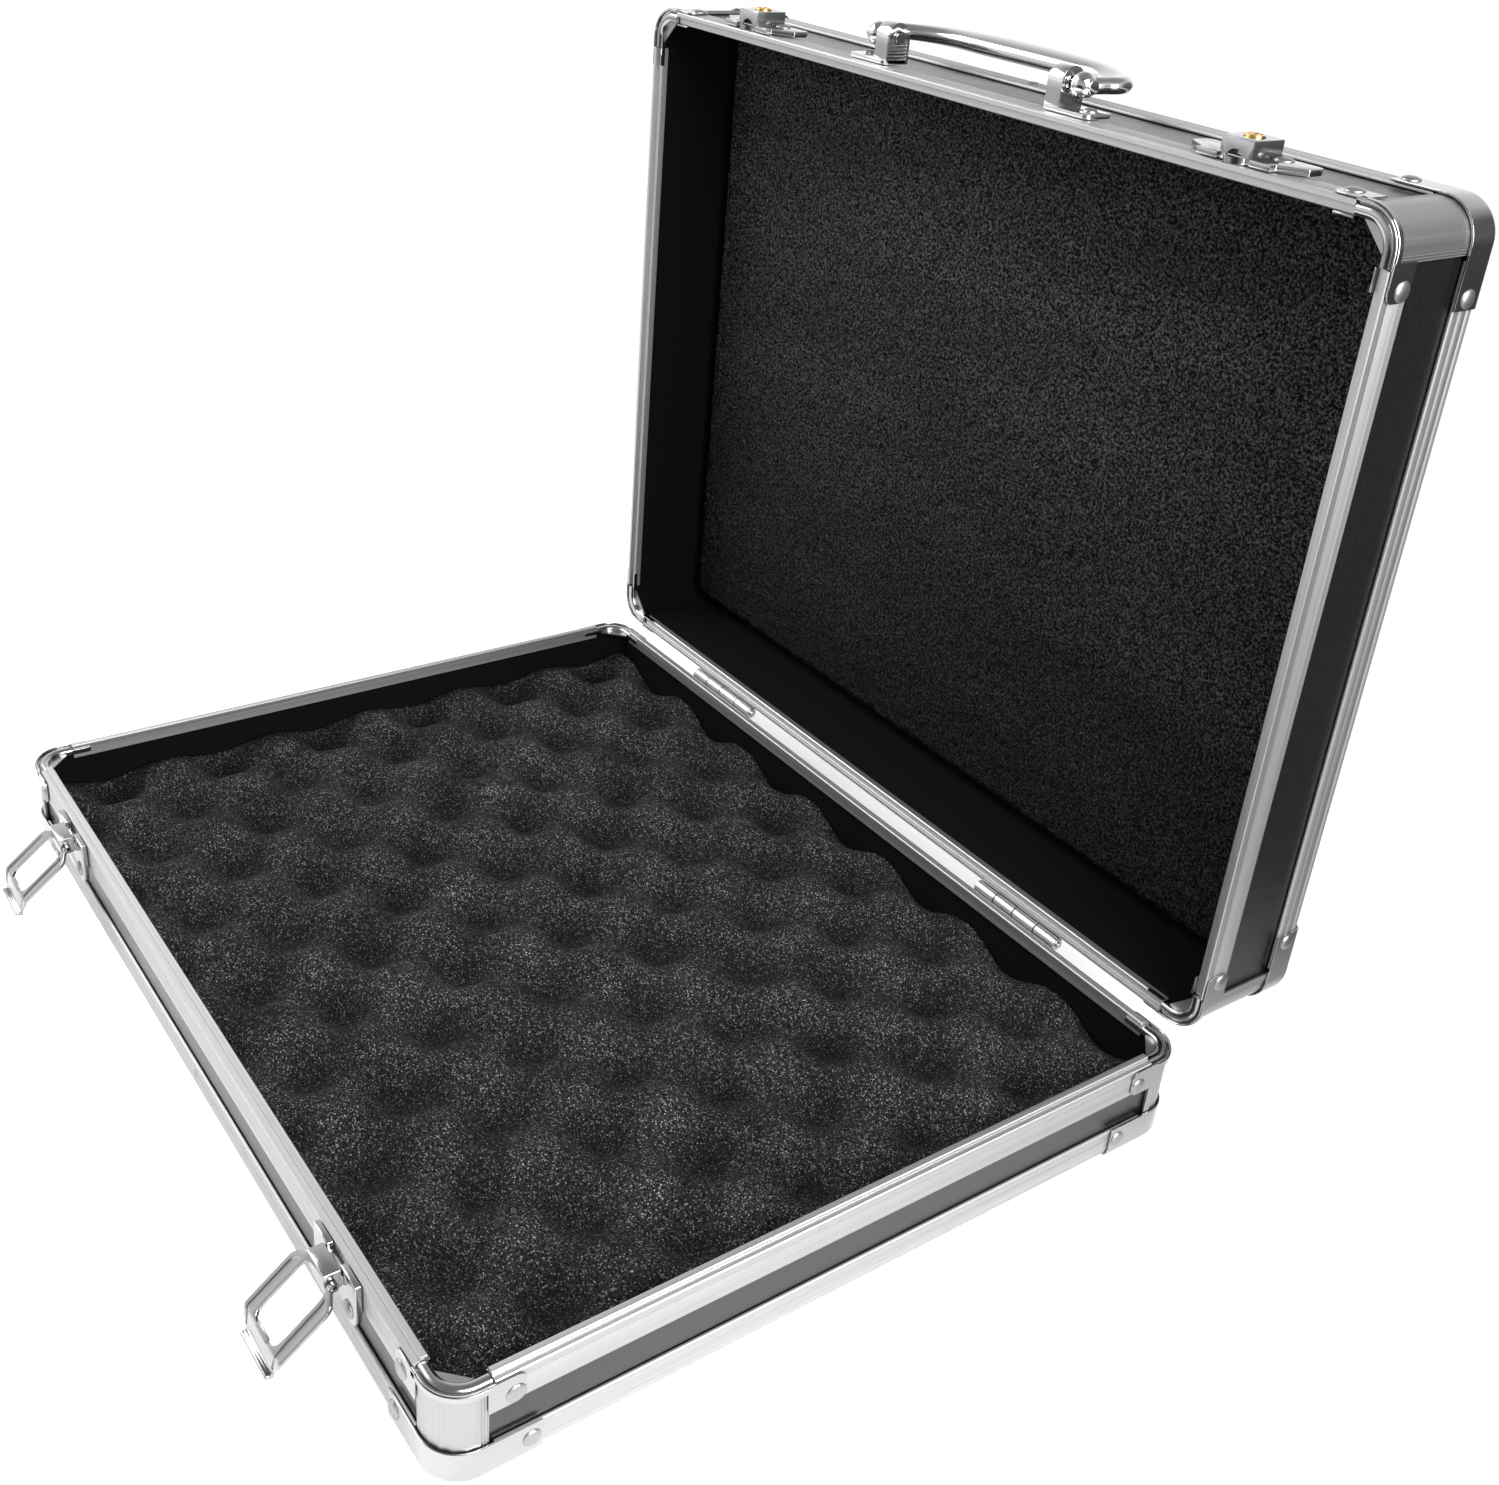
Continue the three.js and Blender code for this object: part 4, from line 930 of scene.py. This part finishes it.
def makeLockBox(side):
    b, node = lockBox, f"lock_box_{side}"
    r, half, top, notchFoot = b["wingRound"], b["boxHalf"], b["top"], b["boxTop"] + b["notch"]
    wing = [
        (b["neckHalf"], top), (b["neckHalf"], b["neckFoot"]), (b["wingHalf"], b["wingTop"]),
        *arc(b["wingHalf"] - r, b["wingFoot"] - r, r, 0, 90, roundSteps),
    ]
    outline = [*wing, *mirrored(wing), (-half, top), (-half, notchFoot), (half, notchFoot), (half, top)]
    sheet = soften(plate("wings", flat(outline, b["seat"]), (0, 0, b["sheet"])), b["sheetEdge"], 3)
    body = block("body", (-half, b["boxTop"], b["seat"]), (half, b["boxFoot"], b["boxFace"]))
    soften(body, b["boxEdge"], 3)
    low, high = b["boxTop"] - overshoot, b["boxTop"] + b["recessDepth"]
    carve(body, bar("recess", (0, low, b["seat"]), (0, high, b["seat"]), b["recess"], b["holeSides"]))
    low, high = b["boxFace"] - b["keyHoleDepth"], b["boxFace"] + overshoot
    carve(body, bar("keyHole", (0, b["keyDepth"], low), (0, b["keyDepth"], high), b["keyHole"], b["holeSides"]))
    hookAt, hookRadius, (start, end) = b["boxTop"] + b["hookPlace"], half - b["hookInset"], b["hookTurn"]
    hookOuter = arc(0, hookAt, hookRadius, start, end, b["hookSteps"])
    hookInner = arc(0, hookAt, hookRadius - b["hookSheet"], end, start, b["hookSteps"])
    hook = plate("hook", flat(hookOuter + hookInner, b["seat"]), (0, 0, b["hookRise"]))
    wingMiddle = (b["wingTop"] + b["wingFoot"]) / 2
    rivets = [rivetOn(b, (s * b["rivetPlace"], wingMiddle, b["seat"] + b["sheet"])) for s in (-1, 1)]
    piece = merge(title(node), sheet, body, hook, *rivets)
    moved(piece, onFront("lid", middle(node)))
    finish(piece, nickel, "lid", node)


# Turning plugs of the locks: a ring groove round a slotted core
keyPlug = {
    "radius": 2.9, "rise": 0.7, "depth": 4.4, "sides": 40, "edge": 0.35, "slotWidth": 0.8, "slotLength": 2.1,
    "slotDepth": 1.2, "collar": 2.1, "grooveDepth": 0.25, "coreGap": 0.3, "coreDrop": 0.05, "coreDepth": 2,
}


def makeKeyPlug(side):
    k, node = keyPlug, f"key_plug_{side}"
    face, depth = lockBox["boxFace"], lockBox["keyDepth"]
    low, top = face - k["depth"], face + k["rise"]
    gap, coreLow, coreTop = k["coreGap"], top - k["coreDepth"], top - k["coreDrop"]
    plug = roundedBar("plug", (0, depth, low), (0, depth, top), k["radius"], k["edge"], 4, k["sides"])
    groove = bar("groove", (0, depth, top - k["grooveDepth"]), (0, depth, top + 1), k["collar"], k["sides"])
    core = roundedBar("core", (0, depth, coreLow), (0, depth, coreTop), k["collar"] - gap, gap, 3, k["sides"])
    carve(plug, groove)
    wide, long = k["slotWidth"] / 2, k["slotLength"]
    for part in (plug, core):
        carve(part, block("slot", (-wide, depth - long, top - k["slotDepth"]), (wide, depth + long, top + 1)))
    body = merge(title(node), plug, core)
    moved(body, onFront("lid", middle(node)))
    finish(body, brass, f"key_{side}", node)


for side in bothSides:
    makeLockBox(side)
    makeKeyPlug(side)
print("locks ready")


# Handle brackets: an ear with a round head on a riveted foot
bracket = {
    "earPlace": 38.7, "earWidth": 6.3, "earRadius": 4.95, "headSteps": 20, "pivotDepth": 10.2, "pivotRise": 8.8,
    "seat": 0.3, "edge": 0.3, "edgeLimit": 40, "footReach": 13, "footHalf": 5.7, "foot": 1.5, "footRound": 2,
    "rivetInset": 4.2, "rivetRadius": 2.3, "rivetRise": 1.2, "bore": 2.1,
    "ribs": 5, "ribFrom": 1.6, "ribPitch": 1.15, "ribWidth": 0.5, "ribDepth": 0.25, "ribInset": 1,
}


def makeBracket(side):
    b, node = bracket, f"handle_bracket_{side}"
    a, width, centre, radius = b["earPlace"], b["earWidth"], b["pivotDepth"], b["earRadius"]
    outline = [(centre - radius, b["seat"]), (centre + radius, b["seat"]),
               *arc(centre, b["pivotRise"], radius, 0, 180, b["headSteps"])]
    ear = plate("ear", [(a, v, z) for v, z in outline], (width, 0, 0))
    for i in range(b["ribs"]):
        z = b["seat"] + b["ribFrom"] + i * b["ribPitch"]
        carve(ear, block("rib", (a - 1, centre - radius + b["ribInset"], z),
                         (a + b["ribDepth"], centre + radius - b["ribInset"], z + b["ribWidth"])))
    soften(ear, b["edge"], 3, b["edgeLimit"])
    carve(ear, bar("bore", (a - 1, centre, b["pivotRise"]), (a + width + 1, centre, b["pivotRise"]), b["bore"]))
    end, r = a + width + b["footReach"], b["footRound"]
    near, far = centre - b["footHalf"], centre + b["footHalf"]
    foot = [*arc(end - r, far - r, r, 0, 90, roundSteps), *arc(a + r, far - r, r, 90, 180, roundSteps),
            *arc(a + r, near + r, r, 180, 270, roundSteps), *arc(end - r, near + r, r, 270, 360, roundSteps)]
    base = soften(plate("foot", flat(foot, b["seat"]), (0, 0, b["foot"])), b["edge"], 3)
    head = rivetOn(b, (end - b["rivetInset"], centre, b["seat"] + b["foot"]))
    piece = merge(title(node), ear, base, head)
    turn = Matrix.Diagonal((-1 if side == "left" else 1, 1, 1, 1))
    moved(piece, onFront("lid", 0) @ turn)
    finish(piece, chrome, "lid", node)


# Bail handle: balls outside the ears, arms that turn round, and a flattened grip
handle = {
    "ball": 4, "ballSides": 40, "ballRings": 24, "ballPlace": 49.3, "bulge": 2.2, "reach": 24.7,
    "gripHalf": 6.2, "gripThick": 3.5, "armHalf": 3.2, "armThick": 2.6, "tilt": 1,
    "sides": 32, "stations": 140, "routeSteps": 600, "merge": 0.001,
    "bend": ((0, 0), (0.86, 0.262), (1, 0.578)), "arch": ((0.966, 0.889), (0.49, 0.979)), "swell": (0.05, 0.445),
    "pin": 1.8, "pinInner": 37.9, "capRadius": 2.2, "capRise": 0.5, "capRoot": 1, "capEdge": 0.3,
}


# A smooth curve through the points of the route
def catmullRom(points, share):
    at = share * (len(points) - 1)
    i = min(int(at), len(points) - 2)
    t = at - i
    p = [points[max(0, min(len(points) - 1, i + k))] for k in (-1, 0, 1, 2)]
    if i == 0:
        p[0] = 2 * p[1] - p[2]
    if i == len(points) - 2:
        p[3] = 2 * p[2] - p[1]
    return 0.5 * (2 * p[1] + (p[2] - p[0]) * t + (2 * p[0] - 5 * p[1] + 4 * p[2] - p[3]) * t ** 2
                  + (3 * p[1] - p[0] - 3 * p[2] + p[3]) * t ** 3)


def smoothStep(value, low, high):
    t = max(0, min(1, (value - low) / (high - low)))
    return t * t * (3 - 2 * t)


def handleRoute(h):
    right = [Vector((h["ballPlace"] + x * h["bulge"], y * h["reach"], 0)) for x, y in h["bend"]]
    right += [Vector((x * bracket["earPlace"], y * h["reach"], 0)) for x, y in h["arch"]]
    left = [Vector((-p.x, p.y, 0)) for p in reversed(right)]
    return [*right, Vector((0, h["reach"], 0)), *left]


def makeGrip(h):
    steps, route = h["routeSteps"], handleRoute(h)
    fine = [catmullRom(route, i / steps) for i in range(steps + 1)]
    lengths = [0]
    for here, there in zip(fine, fine[1:]):
        lengths.append(lengths[-1] + (there - here).length)
    deselectAll()
    bpy.ops.mesh.primitive_grid_add(x_subdivisions=h["stations"], y_subdivisions=h["sides"], size=1)
    grip = nameIt("grip")
    step = 0
    for vertex in grip.data.vertices:
        along, around = vertex.co.x + 0.5, (vertex.co.y + 0.5) * 2 * math.pi
        distance = along * lengths[-1]
        while lengths[step] > distance and step > 0:
            step -= 1
        while step < steps - 1 and lengths[step + 1] < distance:
            step += 1
        share = (distance - lengths[step]) / (lengths[step + 1] - lengths[step])
        centre = fine[step].lerp(fine[step + 1], max(0, min(1, share)))
        heading = (fine[min(steps, step + 2)] - fine[max(0, step - 1)]).normalized()
        swell = smoothStep(min(along, 1 - along), *h["swell"])
        wide = h["armHalf"] + (h["gripHalf"] - h["armHalf"]) * swell
        thick = h["armThick"] + (h["gripThick"] - h["armThick"]) * swell
        side = Vector((-heading.y, heading.x, 0))
        vertex.co = centre + side * wide * math.cos(around) + Vector((0, 0, thick * math.sin(around)))
    startEdit(grip)
    bpy.ops.mesh.remove_doubles(threshold=h["merge"])
    bpy.ops.mesh.select_all(action="SELECT")
    bpy.ops.mesh.fill_holes(sides=0)
    return endEdit(grip)


def makeHandle():
    h = handle
    parts = [makeGrip(h)]
    for s in (-1, 1):
        centre, outer = s * h["ballPlace"], h["ballPlace"] + h["ball"]
        deselectAll()
        bpy.ops.mesh.primitive_uv_sphere_add(
            segments=h["ballSides"], ring_count=h["ballRings"], radius=h["ball"], location=(centre, 0, 0))
        parts.append(newPiece("ball"))
        parts.append(bar("pin", (s * h["pinInner"], 0, 0), (centre, 0, 0), h["pin"]))
        low, high = s * (outer - h["capRoot"]), s * (outer + h["capRise"])
        parts.append(roundedBar("pinHead", (low, 0, 0), (high, 0, 0), h["capRadius"], h["capEdge"], 3))
    piece = merge("bailHandle", *parts)
    moved(piece, onFront("lid", 0) @ tilted(bracket["pivotDepth"], bracket["pivotRise"], h["tilt"]))
    finish(piece, chrome, "handle", "handle", smooth=60)


for side in bothSides:
    makeBracket(side)
makeHandle()
print("handle ready")


# Egg-crate foam in the base: two crossed waves with soft tops, and a fine open grain
eggCrate = {
    "gap": 0.1, "mean": 12.6, "wave": 5.5, "ridge": 0.24, "cornerRadius": 6, "step": 1.15,
    "pitchX": 47.4, "pitchY": 43.64, "peakX": 19.1, "peakY": 3,
    "grain": 0.28, "grainScale": 0.55, "lump": 0.5, "lumpScale": 0.09, "lumpLayer": 5,
}


def roundIn(x, y, halfX, halfY, radius):
    cx, cy = halfX - radius, halfY - radius
    dx, dy = abs(x) - cx, abs(y) - cy
    if dx > 0 and dy > 0:
        far = math.hypot(dx, dy)
        if far > radius:
            x = math.copysign(cx + dx * radius / far, x)
            y = math.copysign(cy + dy * radius / far, y)
    return x, y


def lumps(x, y, layer, scale, height):
    return noise.noise(Vector((x, y, layer)) * scale) * height


def foamSheet(name, halfX, halfY, foam, surface, bottom):
    deselectAll()
    nx, ny = round(2 * halfX / foam["step"]), round(2 * halfY / foam["step"])
    bpy.ops.mesh.primitive_grid_add(x_subdivisions=nx, y_subdivisions=ny, size=2)
    piece = nameIt(name)
    for vertex in piece.data.vertices:
        x, y = roundIn(vertex.co.x * halfX, vertex.co.y * halfY, halfX, halfY, foam["cornerRadius"])
        vertex.co = (x, y, surface(x, y))
    startEdit(piece)
    bpy.ops.mesh.select_all(action="DESELECT")
    bpy.ops.mesh.select_non_manifold()
    push((0, 0, 1))
    mesh = bmesh.from_edit_mesh(piece.data)
    for vertex in mesh.verts:
        if vertex.select:
            vertex.co.z = bottom
    bmesh.update_edit_mesh(piece.data)
    bpy.ops.mesh.edge_face_add()
    return endEdit(piece)


def makeEggCrate():
    e, node = eggCrate, "base_foam"
    low, high = boxIn("base", node)
    bottom = high.z

    def wave(at, peak, pitch):
        return math.cos(2 * math.pi * (at - peak) / pitch)

    def surface(x, y):
        crest = wave(x, e["peakX"], e["pitchX"]) * wave(y, e["peakY"], e["pitchY"])
        grain = lumps(x, y, 0, e["grainScale"], e["grain"])
        lump = lumps(x, y, e["lumpLayer"], e["lumpScale"], e["lump"])
        crest += e["ridge"] * (1 - crest ** 2)
        return bottom - e["mean"] - e["wave"] * crest - grain - lump

    piece = foamSheet("eggCrateFoam", high.x - e["gap"], high.y - e["gap"], e, surface, bottom)
    moved(piece, inHalf("base"))
    finish(piece, foamBase, "base", node, smooth=180)


# Flat foam sheet in the lid: coarse lumps and a ragged edge
flatSheet = {
    "step": 1.25, "cornerRadius": 6, "roll": 3, "lump": 0.9, "lumpScale": 0.32, "grain": 0.5, "grainScale": 0.8,
    "grainLayer": 9, "sink": 0.6, "edge": 2.2, "edgeZone": 8, "edgeScale": (0.24, 0.2), "edgeLayer": 3,
}


def makeFlatFoam():
    f, node = flatSheet, "lid_foam"
    low, high = boxIn("lid", node)
    top, bottom = low.z + f["lump"], high.z

    def surface(x, y):
        inward = min(high.x - abs(x), high.y - abs(y))
        roll = f["roll"] * (1 - smoothStep(inward, 0, f["roll"]))
        lump = lumps(x, y, 0, f["lumpScale"], f["lump"])
        grain = lumps(x, y, f["grainLayer"], f["grainScale"], f["grain"])
        return top + lump + grain * f["sink"] + roll * f["sink"]

    piece = foamSheet("flatFoam", high.x, high.y, f, surface, bottom)
    alongScale, depthScale = f["edgeScale"]
    for vertex in piece.data.vertices:
        v = vertex.co
        for axis, other, limit in ((0, 1, high.x), (1, 0, high.y)):
            near = smoothStep(abs(v[axis]), limit - f["edgeZone"], limit)
            layer = axis + (f["edgeLayer"] if v[axis] > 0 else 0)
            ragged = 0.5 + 0.5 * noise.noise(Vector((v[other] * alongScale, v.z * depthScale, layer)))
            v[axis] -= math.copysign(near * ragged * f["edge"], v[axis])
    moved(piece, inHalf("lid"))
    finish(piece, foamLid, "lid", node, smooth=180)


makeEggCrate()
makeFlatFoam()
print("foam ready")


# Camera at the photograph's viewing angle
view = {"place": (431.98, -256.91, 386.29), "yaw": 52.27, "pitch": 28.32, "roll": 5.17, "focal": 1712.61,
        "frameWidth": 1499, "axisLift": 46, "sensor": 36, "clip": (0.01, 50)}


def makeCamera():
    yaw, pitch, roll = (math.radians(view[k]) for k in ("yaw", "pitch", "roll"))
    ahead = Vector((-math.sin(yaw) * math.cos(pitch), math.cos(yaw) * math.cos(pitch), -math.sin(pitch)))
    level = Vector((math.cos(yaw), math.sin(yaw), 0))
    upright = level.cross(ahead)
    right = math.cos(roll) * level + math.sin(roll) * upright
    up = math.cos(roll) * upright - math.sin(roll) * level
    data = bpy.data.cameras.new("camera")
    data.sensor_width = view["sensor"]
    data.lens = data.sensor_width * view["focal"] / view["frameWidth"]
    data.shift_y = -view["axisLift"] / view["frameWidth"]
    data.clip_start, data.clip_end = view["clip"]
    camera = addObject("camera", data)
    place = Vector(view["place"]) + Vector((0, (frontFace + backFace) / 2, 0))
    camera.matrix_world = Matrix((
        (right.x, up.x, -ahead.x, place.x * mm), (right.y, up.y, -ahead.y, place.y * mm),
        (right.z, up.z, -ahead.z, place.z * mm), (0, 0, 0, 1)))
    bpy.context.scene.camera = camera


# Studio: a pale table that fades out beyond the case, a bright backdrop, a darker ceiling and three dark sides
studio = {
    "floor": 0.8, "floorSeen": 0.9, "floorRough": 0.7, "floorSpecular": 0.1, "glow": 0.3, "glowSeen": 0.45,
    "table": 3, "tableDrop": 0.0002, "centre": (-0.16, -0.2), "fade": (0.36, 0.62),
    "sky": ((-0.14, 0.4), (0.02, 0.9), (0.35, 0.76), (0.56, 0.6), (0.8, 0.25), (1, 0.2)), "skyPower": 1.42,
    "darkSides": (((0.5, 0.84, -0.12), 0.66, 0.86, 0.15), ((0.4, -0.85, 0.35), 0.6, 0.88, 0.5),
                  ((0.11, -0.86, -0.49), 0.74, 0.9, 0.1)),
}
softboxes = {
    "leftSoftbox": {"place": (-0.8, -0.45, 0.85), "target": (-0.05, 0, 0.08), "size": (0.8, 0.6), "power": 10.5},
    "rightSoftbox": {"place": (0.8, -0.05, 0.85), "target": (0.15, -0.05, 0), "size": (0.7, 0.6), "power": 12},
    "sideSoftbox": {"place": (0.8, 0.08, 0.42), "target": (0.175, 0.15, 0.2), "size": (0.5, 0.5), "power": 6.5},
}


# The camera sees the table a little brighter than the case's reflections do
def makeFloor():
    s = studio
    x, y = s["centre"]
    deselectAll()
    bpy.ops.mesh.primitive_plane_add(size=s["table"], location=(x, y, -s["tableDrop"]))
    floor = newPiece("floor")
    material, tree, shader = newMaterial("paleFloor", (s["floor"],) * 3, 0, s["floorRough"])
    shader.inputs["Specular IOR Level"].default_value = s["floorSpecular"]
    place = addNode(tree, "ShaderNodeTexCoord")
    away = addNode(tree, "ShaderNodeVectorMath", operation="DISTANCE")
    away.inputs[1].default_value = (x, y, 0)
    feed(away, 0, place.outputs["Object"])
    feed(shader, "Alpha", addRange(tree, away.outputs["Value"], *s["fade"], 1, 0))
    seen = addNode(tree, "ShaderNodeLightPath").outputs["Is Camera Ray"]
    feed(shader, "Base Color", addRange(tree, seen, 0, 1, s["floor"], s["floorSeen"]))
    shader.inputs["Emission Color"].default_value = (1, 1, 1, 1)
    feed(shader, "Emission Strength", addRange(tree, seen, 0, 1, s["glow"], s["glowSeen"]))
    floor.data.materials.append(material)


def makeLight(name, place, target, size, power):
    data = bpy.data.lights.new(name, "AREA")
    data.shape, data.energy = "RECTANGLE", power
    data.size, data.size_y = size
    light = addObject(name, data)
    light.location = place
    light.rotation_euler = (Vector(target) - Vector(place)).to_track_quat("-Z", "Y").to_euler()


def makeWorld():
    world = bpy.data.worlds.new("studio")
    bpy.context.scene.world = world
    world.use_nodes = True
    tree = world.node_tree
    surround = tree.nodes["Background"]
    heading = addNode(tree, "ShaderNodeTexCoord").outputs["Generated"]
    parts = addNode(tree, "ShaderNodeSeparateXYZ")
    feed(parts, "Vector", heading)
    ramp = tree.nodes.new("ShaderNodeValToRGB")
    feed(ramp, "Fac", addRange(tree, parts.outputs["Z"], -1, 1, 0, 1))
    for i, (z, level) in enumerate(studio["sky"]):
        stop = ramp.color_ramp.elements[i] if i < 2 else ramp.color_ramp.elements.new(1)
        stop.position, stop.color = (z + 1) / 2, (level, level, level, 1)
    power = studio["skyPower"]
    for side, start, end, level in studio["darkSides"]:
        towards = addNode(tree, "ShaderNodeVectorMath", operation="DOT_PRODUCT")
        towards.inputs[1].default_value = Vector(side).normalized()
        feed(towards, 0, heading)
        shade = addRange(tree, towards.outputs["Value"], start, end, 1, level)
        power = addMath(tree, "MULTIPLY", shade, power)
    feed(surround, "Color", ramp.outputs["Color"])
    feed(surround, "Strength", power)
    backdrop = addNode(tree, "ShaderNodeBackground", Strength=1.0, Color=(1, 1, 1, 1))
    seen = addNode(tree, "ShaderNodeLightPath").outputs["Is Camera Ray"]
    both = addNode(tree, "ShaderNodeMixShader")
    for socket, source in enumerate((seen, surround.outputs[0], backdrop.outputs[0])):
        feed(both, socket, source)
    feed(tree.nodes["World Output"], "Surface", both.outputs[0])


makeCamera()
makeFloor()
makeWorld()
for name, light in softboxes.items():
    makeLight(name, **light)
bpy.context.scene.view_settings.view_transform = "Standard"
print("studio ready")
